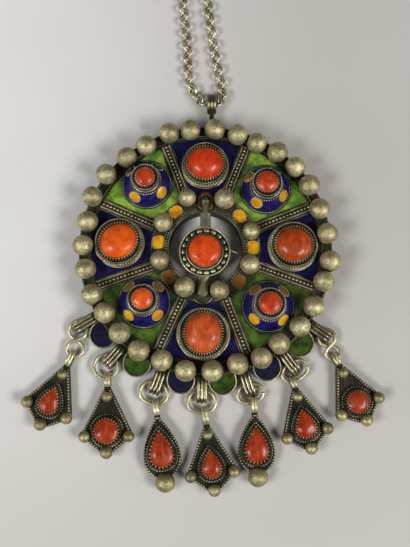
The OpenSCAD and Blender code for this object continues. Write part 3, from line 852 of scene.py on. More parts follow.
@dataclass(frozen=True)
class Coral:
    """Red coral, waxed, with clouds, streaks and small pits."""

    name: str
    light: Triple = (0.62, 0.07, 0.012)
    deep: Triple = (0.40, 0.026, 0.006)
    streak: Triple = (0.78, 0.24, 0.12)
    streaks: float = 0.3
    pits: float = 0.6
    pit_size: float = 1.7
    gloss: float = 0.3
    grain_scale: Triple = (900.0, 180.0, 400.0)
    grain_turn: float = 0.5
    dust: float = 0.3
    wax: float = 0.3

    def mixed(self) -> bpy.types.Material:
        """Builds the material."""
        r = Recipe(self.name)
        clouds = r.noise(3.2, 4.0)
        veins = r.node("ShaderNodeTexNoise", None, {
            "Vector": r.node("ShaderNodeMapping", None, {"Vector": r.place, "Scale": self.grain_scale,
                                                         "Rotation": (0.0, 0.0, self.grain_turn)}),
            "Scale": 1.0, "Detail": 3.0})
        body = r.mix(clouds.between(0.34, 0.68), self.deep, self.light)
        body = r.mix(veins.between(0.56, 0.74) * self.streaks, body, self.streak)
        spots = (1.0 - r.cells(self.pit_size).between(0.07, 0.22)) * r.noise(2.0).between(0.42, 0.6)
        dust = r.noise(0.55, 3.0, 0.65).between(0.52, 0.66)
        body = r.mix(dust * self.dust, body, shade(self.deep, 0.35))
        colour = r.mix(spots * self.pits, body, shade(self.deep, 0.16))
        waves = r.bump(r.noise(2.6, 2.0), 0.4, 0.3)
        return r.finish(
            Base_Color=colour,
            Roughness=self.gloss + 0.16 * clouds + 0.3 * spots,
            Coat_Weight=self.wax,
            Coat_Roughness=0.14,
            Specular_IOR_Level=0.3,
            Subsurface_Weight=0.06,
            Subsurface_Radius=(0.002, 0.0008, 0.0004),
            Normal=r.bump(1.0 - spots, 0.5, 0.14, waves),
        )


@dataclass(frozen=True)
class Enamel:
    """Old glass enamel, cloudy, with a granular or a glossy skin."""

    name: str
    light: Triple
    deep: Triple
    cloud: float = 4.0
    grain: float = 0.25
    gloss: float = 0.14
    coat: float = 0.8
    specks: float = 0.4
    # Painted shade on the yellow cells: browner on the upper ones and in a band below the middle, near black
    # on the topmost
    painted_shade_cells: bool = False
    shine: float = 0.5
    edge: float = 0.75
    shaded_band: Quad = (-19.6, -18.6, 7.5, 8.5)
    shade_from: Pair = (24.0, 25.5)
    deep_shade_from: Pair = (27.0, 28.0)

    def mixed(self) -> bpy.types.Material:
        """Builds the material."""
        r = Recipe(self.name)
        clouds = r.noise(self.cloud, 4.0, 0.6)
        sand = r.noise(0.55, 3.0, 0.65)
        # Darker next to the walls of each cell, where the glass is closed in
        rim = r.hollows(1.6).between(0.3, 0.9)
        glass = r.mix(clouds.between(0.36, 0.64), self.deep, self.light)
        glass = r.mix(sand.between(0.44, 0.6) * self.grain, glass, shade(self.deep, 0.3))
        glass = r.mix((1.0 - rim) * self.edge, glass, shade(self.deep, 0.25))
        if self.painted_shade_cells:
            glass = self._age(r, glass)
        dirt = (1.0 - r.cells(1.3).between(0.07, 0.18)) * self.specks
        colour = r.mix(dirt, glass, DIRT)
        pool = r.bump(r.noise(5.0, 1.0), 0.35, 0.5)
        return r.finish(
            Base_Color=colour,
            Roughness=self.gloss + 0.25 * self.grain * sand,
            Coat_Weight=self.coat,
            Coat_Roughness=0.08,
            Specular_IOR_Level=self.shine,
            Normal=r.bump(sand, self.grain, 0.2, pool),
        )

    def _age(self, r: Recipe, glass: Outlet) -> Outlet:
        """Paints shade into the glass: browns the upper cells and a band below the middle, and darkens the
        topmost ones nearly to black.
        """
        along = r.axis("Y")
        low, full, fade, end = (edge * MM for edge in self.shaded_band)
        shaded, deep_shaded = (along.between(start * MM, stop * MM)
                        for start, stop in (self.shade_from, self.deep_shade_from))
        band = along.between(low, full) * (-1.0 * along).between(fade, end)
        return r.mix(0.95 * deep_shaded, r.mix(0.85 * (shaded + band), glass, SHADE_BROWN), SHADE_BLACK)


class Palette:
    """Every finish of the object, mixed once."""

    def __init__(self) -> None:
        """Mixes the finishes."""
        hollows = Wear.HOLLOWS
        self.body = TarnishedSilver(
            "silver_body", wear=hollows, film=(0.075, 0.066, 0.042), patina=0.5, bright=(0.2, 0.18, 0.12),
            hollow=2.2, painted_shade_rings=True).mixed()
        self.balls = TarnishedSilver(
            "silver_balls", bright=(0.78, 0.71, 0.43), film=(0.44, 0.39, 0.215), hollow=3.4, gloss=0.46,
            speckle=0.6, metal=0.8, mottle=1.0, rough=0.12).mixed()
        self.trim = TarnishedSilver("silver_trim", hollow=0.9, patina=0.8).mixed()
        # Rim ropes darker than the other trim: tarnish, darkened further as painted shade under the rim's
        # balls
        self.rim_tarnish_and_shade = TarnishedSilver(
            "silver_rim_ropes", bright=(0.2, 0.18, 0.115), film=(0.08, 0.07, 0.045), hollow=1.6).mixed()
        self.collar_trim = TarnishedSilver(
            "silver_collar", bright=(0.4, 0.37, 0.24), film=(0.16, 0.145, 0.09), hollow=1.0,
            patina=0.6).mixed()
        self.bezel_trim = TarnishedSilver(
            "silver_bezel_trim", bright=(0.7, 0.66, 0.44), film=(0.36, 0.33, 0.2), hollow=0.6, patina=0.6,
            metal=0.8).mixed()
        self.dome_trim = TarnishedSilver(
            "silver_dome_trim", bright=(0.7, 0.68, 0.54), film=(0.36, 0.33, 0.23), hollow=0.7,
            patina=0.8).mixed()
        self.bars = TarnishedSilver(
            "silver_bars", bright=(0.58, 0.53, 0.34), film=(0.28, 0.25, 0.15), hollow=1.1,
            gloss=0.26).mixed()
        self.pin = TarnishedSilver(
            "silver_pin", wear=hollows, bright=(0.34, 0.31, 0.2), film=(0.13, 0.115, 0.07), patina=0.7,
            hollow=1.4).mixed()
        self.pin_bars = TarnishedSilver(
            "silver_pin_bars", bright=(0.6, 0.58, 0.42), film=(0.36, 0.34, 0.23), hollow=1.2).mixed()
        self.drop = TarnishedSilver(
            "silver_drop", wear=hollows, film=(0.03, 0.027, 0.018), bright=(0.08, 0.07, 0.045), hollow=1.6,
            gloss=0.4, patina=0.6, green=(0.04, 0.1, 0.065)).mixed()
        self.drop_trim = TarnishedSilver(
            "silver_drop_trim", bright=(0.6, 0.55, 0.36), film=(0.3, 0.26, 0.16), hollow=1.0,
            metal=0.85).mixed()
        self.drop_balls = TarnishedSilver(
            "silver_drop_balls", bright=(0.56, 0.5, 0.27), film=(0.28, 0.24, 0.125), hollow=2.0, gloss=0.44,
            speckle=0.5, metal=0.82, mottle=1.0, rough=0.1).mixed()
        # Near-black silver for the rings in the gaps of the bezels and at the domes' feet: painted shade
        self.gap_shade = TarnishedSilver(
            "silver_painted_gap_shade", bright=(0.05, 0.045, 0.03), film=(0.02, 0.018, 0.012), gloss=0.5).mixed()
        self.wire = TarnishedSilver(
            "silver_wire", bright=(0.78, 0.73, 0.5), film=(0.5, 0.45, 0.28), hollow=1.2, gloss=0.3,
            speckle=0.15, metal=0.7).mixed()
        self.chain = TarnishedSilver(
            "silver_chain", bright=(0.86, 0.82, 0.62), film=(0.46, 0.42, 0.26), hollow=0.8, gloss=0.26,
            speckle=0.15, metal=0.75).mixed()
        self.corals = {
            Side.N: Coral(
                "coral_north", light=(0.7, 0.058, 0.005), deep=(0.54, 0.032, 0.003), pits=0.3).mixed(),
            Side.E: Coral(
                "coral_east", light=(0.52, 0.085, 0.01), deep=(0.36, 0.04, 0.004), pits=0.9,
                streaks=0.45).mixed(),
            Side.S: Coral(
                "coral_south", light=(0.64, 0.115, 0.02), deep=(0.47, 0.058, 0.01), streaks=0.75).mixed(),
            Side.W: Coral(
                "coral_west", light=(0.94, 0.15, 0.01), deep=(0.74, 0.08, 0.006), pits=0.75,
                pit_size=2.4).mixed(),
        }
        small = Coral("coral_small", light=(0.64, 0.075, 0.01), pits=0.5, pit_size=1.4, gloss=0.26).mixed()
        self.small_corals = {
            Side.NE: small, Side.SE: small, Side.NW: small,
            Side.SW: Coral(
                "coral_small_sw", light=(0.9, 0.15, 0.014), deep=(0.66, 0.07, 0.008), pits=0.5,
                pit_size=1.4, gloss=0.26).mixed(),
        }
        self.centre_coral = Coral(
            "coral_centre_red", light=(0.95, 0.12, 0.01), deep=(0.6, 0.045, 0.005), pits=0.4,
            gloss=0.22).mixed()
        self.drop_coral = Coral(
            "coral_drop", light=(0.42, 0.05, 0.007), deep=(0.27, 0.021, 0.004), pits=0.5,
            gloss=0.26).mixed()
        # The fields' blue is darker than the domes' blue: partly the enamel's deep colour, partly painted
        # shade from the domes and rim
        self.blue = Enamel(
            "enamel_blue", light=(0.014, 0.009, 0.17), deep=(0.002, 0.002, 0.028), cloud=1.6, grain=1.0,
            gloss=0.3, coat=0.12, shine=0.22).mixed()
        self.dome_blue = Enamel(
            "enamel_dome_blue", light=(0.024, 0.014, 0.26), deep=(0.005, 0.003, 0.05), cloud=2.0, grain=1.0,
            gloss=0.24, coat=0.22, shine=0.3).mixed()
        self.lobe_blue = Enamel(
            "enamel_lobe_blue", light=(0.009, 0.008, 0.075), deep=(0.003, 0.003, 0.015), cloud=2.0,
            grain=0.8, gloss=0.25, coat=0.2, shine=0.25).mixed()
        # One green enamel in lit and shaded copies: the upper fields have painted light, the lower ones
        # painted shade
        self.greens = {
            Side.NE: Enamel(
                "enamel_green_ne_painted_light", light=(0.31, 0.52, 0.055), deep=(0.08, 0.2, 0.025), cloud=4.0,
                grain=0.35).mixed(),
            Side.SE: Enamel(
                "enamel_green_se_painted_shade", light=(0.135, 0.23, 0.026), deep=(0.026, 0.066, 0.012), cloud=4.0,
                grain=0.35).mixed(),
            Side.SW: Enamel(
                "enamel_green_sw_painted_shade", light=(0.13, 0.225, 0.028), deep=(0.025, 0.07, 0.012), cloud=4.0,
                grain=0.35).mixed(),
            Side.NW: Enamel(
                "enamel_green_nw_painted_light", light=(0.38, 0.6, 0.075), deep=(0.1, 0.24, 0.03), cloud=4.0,
                grain=0.35).mixed(),
        }
        self.lobe_green = Enamel(
            "enamel_lobe_green", light=(0.075, 0.14, 0.014), deep=(0.02, 0.045, 0.008), grain=0.3, coat=0.5,
            shine=0.35).mixed()
        # The yellow enamel carries painted shade on its upper cells and on a band below the middle
        self.yellow = Enamel(
            "enamel_yellow", light=(1.0, 0.54, 0.008), deep=(0.7, 0.28, 0.006), cloud=6.0, grain=0.4,
            painted_shade_cells=True).mixed()
        # Dark amber of the cell round the slot, darkened further as painted shade
        self.amber = Enamel(
            "enamel_amber", light=(0.2, 0.085, 0.012), deep=(0.05, 0.018, 0.003), cloud=2.5,
            grain=0.4).mixed()

    def dress(self, node: str, finish: bpy.types.Material) -> None:
        """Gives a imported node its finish."""
        for slot in frame["nodes"][node].material_slots:
            slot.material = finish
        log.info("%s: %s", node, finish.name)


# Stones

def turned(middle: np.ndarray, turn: float) -> np.ndarray:
    """Gives one placing matrix that turns about Z and moves to a middle."""
    place = Matrix.Translation(Vector(middle)) @ Matrix.Rotation(math.radians(turn), 4, "Z")
    return np.array(place)[None]


def cabochon(outline: np.ndarray, height: float, girdle: float, lump: float, seed: float,
             power: float = 2.3) -> Shape:
    """Shapes a domed stone over an outline.

    Args:
        outline: Flat outline round the origin.
        height: Height of the stone.
        girdle: Share of the height that stands upright.
        lump: How uneven the stone is, against its size.
        seed: What its unevenness is drawn from.
        power: Fullness of the dome.

    Returns:
        The shape, its foot at z 0.
    """
    cap = cap_shape(girdle, power)
    angles = np.arctan2(outline[:, 1], outline[:, 0])
    order = np.argsort(angles)
    reach = np.hypot(outline[:, 0], outline[:, 1])[order]
    here = np.arctan2(cap.points[:, 1], cap.points[:, 0])
    stretch = np.interp(here, angles[order], reach, period=2 * math.pi)
    points = cap.points * np.stack([stretch, stretch, np.full(len(stretch), height)], axis=1)
    size = float(reach.mean())
    swell = np.array([noise.noise(Vector(p) / size * 1.4 + Vector((seed, seed * 2, 0))) for p in points])
    free = np.clip((cap.points[:, 2] - girdle) / (1 - girdle), 0, 1)
    points[:, 2] += swell * lump * height * 2.2 * free - np.abs(swell).max() * lump * height * free
    points[:, :2] *= (1.0 + (swell * lump * free)[:, None] - 0.01)
    return Shape(points, cap.corners, cap.sizes, cap.wear)


# The disc

@dataclass
class Rim:
    """Balls on the rim, the balls round the opening and the twisted wires under them.

    A rope is given as its radius, height and width.
    """

    ropes: tuple[Triple, ...] = ((45.35, 5.95, 1.3), (42.2, 6.05, 1.0), (45.9, 3.9, 0.9))
    grow: Pair = (1.03, 1.07)
    inner_sunk: float = 0.3
    rim_seed: int = 3
    inner_seed: int = 8

    def build(self, palette: Palette) -> None:
        """Builds the balls and ropes."""
        ropes = Stock()
        for radius, z, width in self.ropes:
            ropes.rope(arc(radius, z), width)
        ropes.made("rim_ropes", palette.rim_tarnish_and_shade, "silver")
        rim = Stock()
        rim.balls([(polar(a, r, BALL_H), BALL_R) for a, r in RIM_BALLS], self.rim_seed, self.grow)
        rim.made("rim_balls", palette.balls, "silver")
        inner = Stock()
        inner.balls([(polar(a, r, ENAMEL_H + size - self.inner_sunk), size) for a, r, size in INNER_BALLS],
                    self.inner_seed, self.grow)
        inner.made("inner_balls", palette.balls, "silver")


@dataclass
class Ribs:
    """The eight ribs between the fields, each with a row of grains between twisted wires.

    A rope is given as its place across, height, width and wear.
    """

    start: float = 20.2
    end: float = 41.2
    grain: float = 1.16
    grain_step: float = 1.36
    grain_z: float = RIB_H + 0.22
    top_rope: Quad = (1.27, RIB_H + 0.06, 0.95, 0.62)
    foot_rope: Quad = (2.02, ENAMEL_H + 0.3, 0.5, 0.6)

    def build(self, palette: Palette) -> None:
        """Builds the wires and grains of every rib."""
        stock = Stock()
        for angle in RIBS:
            stock.granules(self.line(angle, 0.0, self.grain_z), self.grain, self.grain_step)
            for side in (-1, 1):
                for rope, slant in ((self.top_rope, side * TWIST), (self.foot_rope, TWIST)):
                    across, z, width, wear = rope
                    stock.rope(self.line(angle, side * across, z), width, slant, wear)
        stock.made("rib_trim", palette.trim, "silver")

    def line(self, angle: float, across: float, z: float) -> Path:
        """Gives a line along a rib, beside its middle, at height z."""
        ends = np.array([[self.start, across, z], [self.end, across, z]])
        return Path(placed(ends, np.zeros(3), angle))


@dataclass
class Collar:
    """Wires and grains round the opening, the lips of its yellow cells and the amber round the slot.

    A lip is given as its radius, height and wire. A row of grains is given as its radius, height, width
    and half of the gap that it leaves at the hinge, in degrees.
    """

    lip: Triple = (13.66, 6.16, 0.36)
    lip_wear: float = 0.55
    rows: tuple[Quad, ...] = ((14.45, 6.1, 0.85, 12.5), (15.3, 5.62, 0.7, 12.5), (19.6, 5.6, 0.7, 9.5))
    row_step: float = 1.2
    tip_gap: float = 9.5
    cell_lip: Triple = (YELLOW_R + 0.14, ENAMEL_H + 0.12, 0.24)
    rest_lip: Triple = (3.5, ENAMEL_H + 0.3, 0.26)
    rest_at: Pair = (-0.95, -16.9)
    rest_span: Pair = (200.0, 140.0)
    slot_half: Pair = (2.25, 2.9)
    slot_at: Triple = (0.0, 17.3, COLLAR_H - 0.1)
    slot_square: float = 0.7
    slot_wire: float = 0.7
    slot_flat: float = 0.25

    def build(self, palette: Palette) -> None:
        """Builds the wires and the amber."""
        stock = Stock()
        radius, z, wire = self.lip
        stock.tube(arc(radius, z), wire, wear=self.lip_wear)
        for radius, z, width, hinge_gap in self.rows:
            span = 180.0 - hinge_gap - self.tip_gap
            for start in (90.0 + hinge_gap, self.tip_gap - 90.0):
                stock.granules(arc(radius, z, start=start, sweep=span), width, width * self.row_step)
        radius, z, wire = self.cell_lip
        for angle, reach in YELLOW_FIELDS:
            stock.tube(arc(radius, z, polar(angle, reach)), wire, THIN_SIDES)
        radius, z, wire = self.rest_lip
        stock.tube(arc(radius, z, np.array(self.rest_at), *self.rest_span), wire)
        stock.made("collar_trim", palette.collar_trim, "silver")
        amber = Stock()
        line = oval(1.0, 1.0, 40)
        line = np.sign(line) * np.abs(line) ** self.slot_square * (*self.slot_half, 1.0) + self.slot_at
        amber.add(tube_shape(Path(line, True), self.slot_wire, FULL_SIDES, self.slot_flat))
        amber.made("slot_amber", palette.amber, "yellow_enamel")


@dataclass
class LargeCoral:
    """One of the four large corals in its bezel.

    A wire is given as its growth against the bezel, height, radius and wear, a row of grains as its growth,
    height, width and step, and a rope on the wall as its growth and height. Heights of the rows and ropes
    are over the base.
    """

    side: Side
    middle: Pair
    bezel_r: float
    half: Pair
    turn: float
    teeth: int = 42
    base_top: float = 7.2
    bezel_top: float = 9.4
    girdle: float = 0.24
    lump: float = 0.025
    fuller: float = 0.45
    wires: tuple[Quad, ...] = ((0.12, ENAMEL_H + 0.3, 0.3, 0.8), (-0.1, 7.2, 0.26, 1.0))
    step_row: Quad = (-0.5, 0.34, 0.8, 0.98)
    top_row: Triple = (-0.72, 0.5, 0.7)
    wall_ropes: tuple[Pair, ...] = ((-0.8, 0.95), (-0.96, 1.4))
    wall_rope: Pair = (0.5, 0.5)
    teeth_at: Pair = (0.42, -0.4)
    tooth: Triple = (0.6, 0.6, 1.75)
    tooth_lean: float = 40.0
    gaps: Pair = (0.15, 0.5)
    gap_wire: float = 0.26

    def build(self, palette: Palette) -> None:
        """Builds the stone and the trim of its bezel."""
        middle = np.array([*self.middle, 0.0])
        trim = Stock()
        for grow, z, wire, wear in self.wires:
            trim.tube(arc(self.bezel_r + grow, z, middle), wire, wear=wear)
        grow, rise, width, step = self.step_row
        trim.granules(arc(self.bezel_r + grow, self.base_top + rise, middle), width, step, HIGH_GRAIN)
        width, wear = self.wall_rope
        for grow, rise in self.wall_ropes:
            trim.rope(arc(self.bezel_r + grow, self.base_top + rise, middle), width, -TWIST, wear)
        grow, rise = self.teeth_at
        trim.teeth(self.edge(grow, rise), middle, self.teeth, self.tooth, self.tooth_lean)
        grow, width, step = self.top_row
        trim.granules(arc(self.bezel_r + grow, self.bezel_top, middle), width, step)
        trim.made(f"bezel_trim_{self.side.value}", palette.bezel_trim, "silver")
        # Near-black rings in the gap between the stone and its teeth: painted shade
        gap = Stock()
        for grow in self.gaps:
            gap.add(tube_shape(self.edge(grow, 0.0), self.gap_wire, THIN_SIDES, SHADE_RING_FLAT))
        gap.made(f"bezel_gap_{self.side.value}", palette.gap_shade, "silver")
        node = f"coral_{self.side.value}"
        low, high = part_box(node)
        across, along = (half + self.fuller for half in self.half)
        stone = Stock()
        stone.add(cabochon(oval(across, along), (high.z - low.z) / MM, self.girdle, self.lump, self.bezel_r),
                  turned(middle + (0, 0, low.z / MM), self.turn))
        stone.made(f"cabochon_{self.side.value}", palette.corals[self.side], "coral", replaces=(node,))

    def edge(self, grow: float, rise: float) -> Path:
        """Gives the stone's outline, grown a little, at a height over the top of the bezel."""
        across, along = (half + self.fuller + grow for half in self.half)
        middle = np.array([*self.middle, self.bezel_top + rise])
        return Path(placed(oval(across, along), middle, self.turn), True)


@dataclass
class Dome:
    """One of the four blue domes with yellow dots and a small coral on top.

    A row of grains or a rope is given as its growth against the base or the coral, its rise over what it
    lies on, its width and its step or wear.
    """

    side: Side
    middle: Pair
    base_r: float
    coral_r: float
    dots_turn: float
    dot_tilt: float = 53.0
    dot_lip_r: float = 2.2
    dot_rise: float = 0.06
    dot_row: Pair = (0.42, 0.46)
    bezel_top: float = 15.2
    base_row: Quad = (0.02, ENAMEL_H + 0.25, 0.56, 0.62)
    collar_wire: Triple = (1.15, 1.15, 0.26)
    collar_rope: Quad = (1.03, 0.65, 0.55, 0.45)
    skirt_row: Quad = (1.7, 0.22, 0.68, 0.86)
    top_row: Triple = (0.98, 0.52, 0.68)
    teeth: int = 26
    teeth_at: Pair = (0.5, -0.55)
    tooth: Triple = (0.54, 0.5, 1.6)
    tooth_lean: float = 42.0
    gaps: Pair = (0.25, 0.6)
    gap_rise: float = -0.02
    gap_wire: float = 0.24
    base_gap: Triple = (0.3, ENAMEL_H + 0.1, 0.25)
    girdle: float = 0.45
    lump: float = 0.03
    power: float = 2.2

    @property
    def ball_r(self) -> float:
        """Radius of the ball that the dome is cut from."""
        rise = DOME_H - ENAMEL_H
        return (self.base_r ** 2 + rise ** 2) / (2 * rise)

    def surface(self, radius: float) -> float:
        """Gives the height of the dome at a distance from its axis."""
        return DOME_H - self.ball_r + math.sqrt(self.ball_r ** 2 - radius ** 2)

    def build(self, palette: Palette) -> None:
        """Builds the stone and the wires of the dome."""
        middle = np.array([*self.middle, 0.0])
        trim = Stock()
        grow, z, width, step = self.base_row
        trim.granules(arc(self.base_r + grow, z, middle), width, step, ROUND_GRAIN)
        grow, rise, wire = self.collar_wire
        collar_z = self.surface(self.coral_r + grow)
        trim.tube(arc(self.coral_r + grow, collar_z + rise, middle), wire)
        grow, rise, width, wear = self.collar_rope
        trim.rope(arc(self.coral_r + grow, collar_z + rise, middle), width, -TWIST, wear)
        grow, rise, width, step = self.skirt_row
        skirt_r = self.coral_r + grow
        trim.granules(arc(skirt_r, self.surface(skirt_r) + rise, middle), width, step, ROUND_GRAIN)
        grow, rise = self.teeth_at
        trim.teeth(arc(self.coral_r + grow, self.bezel_top + rise, middle), middle, self.teeth, self.tooth,
                   self.tooth_lean)
        grow, width, step = self.top_row
        trim.granules(arc(self.coral_r + grow, self.bezel_top, middle), width, step)
        for k in range(4):
            trim.granules(self.dot_line(self.dots_turn + 90 * k), *self.dot_row, ROUND_GRAIN)
        trim.made(f"dome_trim_{self.side.value}", palette.dome_trim, "silver")
        # Near-black rings in the gap round the coral and at the dome's foot: painted shade
        gap = Stock()
        for grow in self.gaps:
            ring = arc(self.coral_r + grow, self.bezel_top + self.gap_rise, middle)
            gap.add(tube_shape(ring, self.gap_wire, THIN_SIDES, SHADE_RING_FLAT))
        grow, z, wire = self.base_gap
        gap.tube(arc(self.base_r + grow, z, middle), wire, THIN_SIDES)
        gap.made(f"dome_gap_{self.side.value}", palette.gap_shade, "silver")
        node = f"coral_{self.side.value}"
        low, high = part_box(node)
        stone = Stock()
        stone.add(cabochon(oval(self.coral_r, self.coral_r), (high.z - low.z) / MM, self.girdle, self.lump,
                           self.base_r * 3, self.power), turned(middle + (0, 0, low.z / MM), 0.0))
        stone.made(f"cabochon_{self.side.value}", palette.small_corals[self.side], "coral", replaces=(node,))

    def dot_line(self, turn: float) -> Path:
        """Gives the rim of a yellow dot that faces a direction in degrees."""
        place = (Matrix.Translation((*self.middle, DOME_H - self.ball_r))
                 @ Matrix.Rotation(math.radians(turn), 4, "Z")
                 @ Matrix.Rotation(math.radians(self.dot_tilt), 4, "Y"))
        rise = math.sqrt(self.ball_r ** 2 - self.dot_lip_r ** 2) + self.dot_rise
        line = [place @ Vector((*point[:2], rise)) for point in oval(self.dot_lip_r, self.dot_lip_r, 36)]
        return Path(np.array([p[:] for p in line]), True, tuple(place.to_3x3() @ Vector((0, 0, 1))))


@dataclass
class Hangers:
    """The ribbed straps, the bail and the lips of the lobes."""

    lobe_at: float = 48.0
    lobe_lip: Triple = (4.85, 4.3, 0.3)
    strap_from: float = 45.6
    strap_bend: float = 49.0
    strap_end: float = 53.1
    strap_back: float = 49.5
    strap_r: float = 2.02
    strap_bars: Triple = (-1.3, 0.0, 1.3)
    strap_bar_r: float = 0.62
    bail_middle: Triple = (2.3, 55.9, 3.65)
    bail_low: float = 3.12
    bail_rise: float = 0.42
    bail_bars: Triple = (-1.13, 0.0, 1.13)
    bail_bar_r: float = 0.56
    neck_bars: Pair = (-0.5, 0.5)
    neck_bar_r: float = 0.5
    neck_span: Pair = (46.0, 52.6)
    neck_z: float = 4.7

    def build(self, palette: Palette) -> None:
        """Builds the bars and lips."""
        stock = Stock()
        for angle in STRAPS:
            for across in self.strap_bars:
                stock.tube(self.strap_line(angle, across), self.strap_bar_r)
        for across in self.bail_bars:
            stock.tube(self.bail_line(across), self.bail_bar_r)
        for across in self.neck_bars:
            ends = [[self.bail_middle[0] + across, y, self.neck_z] for y in self.neck_span]
            stock.tube(Path(np.array(ends)), self.neck_bar_r)
        stock.made("strap_bars", palette.bars, "silver")
        lips = Stock()
        radius, z, wire = self.lobe_lip
        for angle in LOBES:
            lips.tube(arc(radius, z, polar(angle, self.lobe_at)), wire)
        lips.made("lobe_lips", palette.trim, "silver")

    def bail_line(self, across: float) -> Path:
        """Gives the line of one bar of the bail, fuller over its top than on the table."""
        count = 40
        turns = np.linspace(0, 2 * math.pi, count, endpoint=False)
        reach = self.bail_low + self.bail_rise * (0.5 + 0.5 * np.sin(turns))
        x, y, z = self.bail_middle
        back, up = reach * np.cos(turns), reach * np.sin(turns)
        hoop = np.stack([np.full(count, x + across), y + back, z + up], axis=1)
        return Path(hoop, True, (1.0, 0.0, 0.0))

    def strap_line(self, angle: float, across: float) -> Path:
        """Gives the line of one bar of a strap, over its top and round its end."""
        turns = np.radians(np.linspace(90.0, -90.0, 13))
        bend = self.strap_end + self.strap_r * np.cos(turns)
        along = np.concatenate([[self.strap_from, self.strap_bend], bend, [self.strap_back]])
        height = np.concatenate([[self.strap_r, self.strap_r], self.strap_r * np.sin(turns), [-self.strap_r]])
        flat = np.stack([along, np.full(len(along), across), STRAP_Z + height], axis=1)
        sideways = placed(np.array([[0.0, 1.0, 0.0]]), np.zeros(3), angle)[0]
        return Path(placed(flat, np.zeros(3), angle), up=tuple(sideways))


@dataclass
class Pin:
    """Trim of the hinged tongue and the coral in its setting.

    Heights are over the tongue's foot. A station of a bar is its place across, place along, half width and
    the rise of its flat top.
    """

    middle: Pair = (-0.3, -1.9)
    foot: float = 6.5
    half: Pair = (5.8, 5.85)
    girdle: float = 0.48
    lump: float = 0.03
    power: float = 2.2
    outer_wire: Triple = (9.0, 2.15, 0.3)
    inner_wire: Triple = (6.5, 2.35, 0.27)
    grains: int = 19
    grains_at: Pair = (7.7, 1.5)
    grain: Triple = (1.15, 0.85, 0.55)
    teeth: int = 34
    teeth_at: Pair = (0.5, 2.9)
    tooth: Triple = (0.6, 0.5, 1.7)
    tooth_lean: float = 42.0
    hook: tuple[Triple, ...] = ((8.7, -1.2, 8.4), (10.2, -2.0, 8.2), (11.6, -2.3, 7.4), (12.6, -2.3, 6.9))
    hook_wire: float = 0.17
    bar_foot: float = 0.3
    bar_side: float = 0.65
    bar_flat: float = 0.42
    bar: tuple[Quad, ...] = (
        (0.0, 17.4, 1.15, 0.85), (0.0, 16.5, 1.15, 0.85), (0.0, 15.2, 1.15, 1.6), (0.0, 12.9, 1.15, 1.6),
        (0.0, 12.4, 1.95, 1.6), (0.0, 6.3, 1.95, 1.6))
    neck_flat: float = 0.4
    neck: tuple[Quad, ...] = (
        (-0.75, -10.6, 2.2, 1.6), (-0.95, -13.2, 1.4, 1.6), (-0.95, -13.6, 1.75, 1.6),
        (-0.95, -16.9, 1.85, 1.6), (-0.95, -17.9, 1.3, 1.6))

    def build(self, palette: Palette) -> None:
        """Builds the setting's wires, grains and teeth, the bars and the stone."""
        middle = np.array([*self.middle, 0.0])
        trim = Stock()
        radius, rise, wire = self.outer_wire
        trim.tube(arc(radius, self.foot + rise, middle), wire)
        radius, rise = self.grains_at
        spots, ahead = arc(radius, self.foot + rise, middle).spaced(2 * math.pi * radius / self.grains)
        trim.add(BEAD, frames_at(spots, ahead, (0.0, 0.0, 1.0), self.grain))
        radius, rise, wire = self.inner_wire
        trim.tube(arc(radius, self.foot + rise, middle), wire)
        grow, rise = self.teeth_at
        edge = oval(self.half[0] + grow, self.half[1] + grow) + middle + (0, 0, self.foot + rise)
        trim.teeth(Path(edge, True), middle, self.teeth, self.tooth, self.tooth_lean)
        trim.tube(Path(np.array(self.hook)), self.hook_wire, THIN_SIDES)
        trim.made("pin_trim", palette.bezel_trim, "silver", PIN)
        bars = Stock()
        for stations, flat in ((self.bar, self.bar_flat), (self.neck, self.neck_flat)):
            bars.add(faceted_bar(stations, self.foot + self.bar_foot, self.bar_side, flat))
        bars.made("pin_bars", palette.pin_bars, "silver", PIN, smooth=False)
        low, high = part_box("coral_centre")
        stone = Stock()
        stone.add(cabochon(oval(*self.half), (high.z - low.z) / MM, self.girdle, self.lump, 5.0, self.power),
                  turned(middle + (0, 0, low.z / MM), 0.0))
        stone.made("cabochon_centre", palette.centre_coral, "coral", PIN, ("coral_centre",))


# Rings and drops

class Link(Enum):
    """Ways in which a jump ring is bent."""

    EIGHT = "two loops of one wire, crossing"
    DOUBLE = "two turns of a thinner wire"
    CLOSED = "one closed loop"
    OPEN = "one loop with a gap"


class Kind(Enum):
    """Forms of drop."""

    KITE = "kite"
    TEAR = "tear"


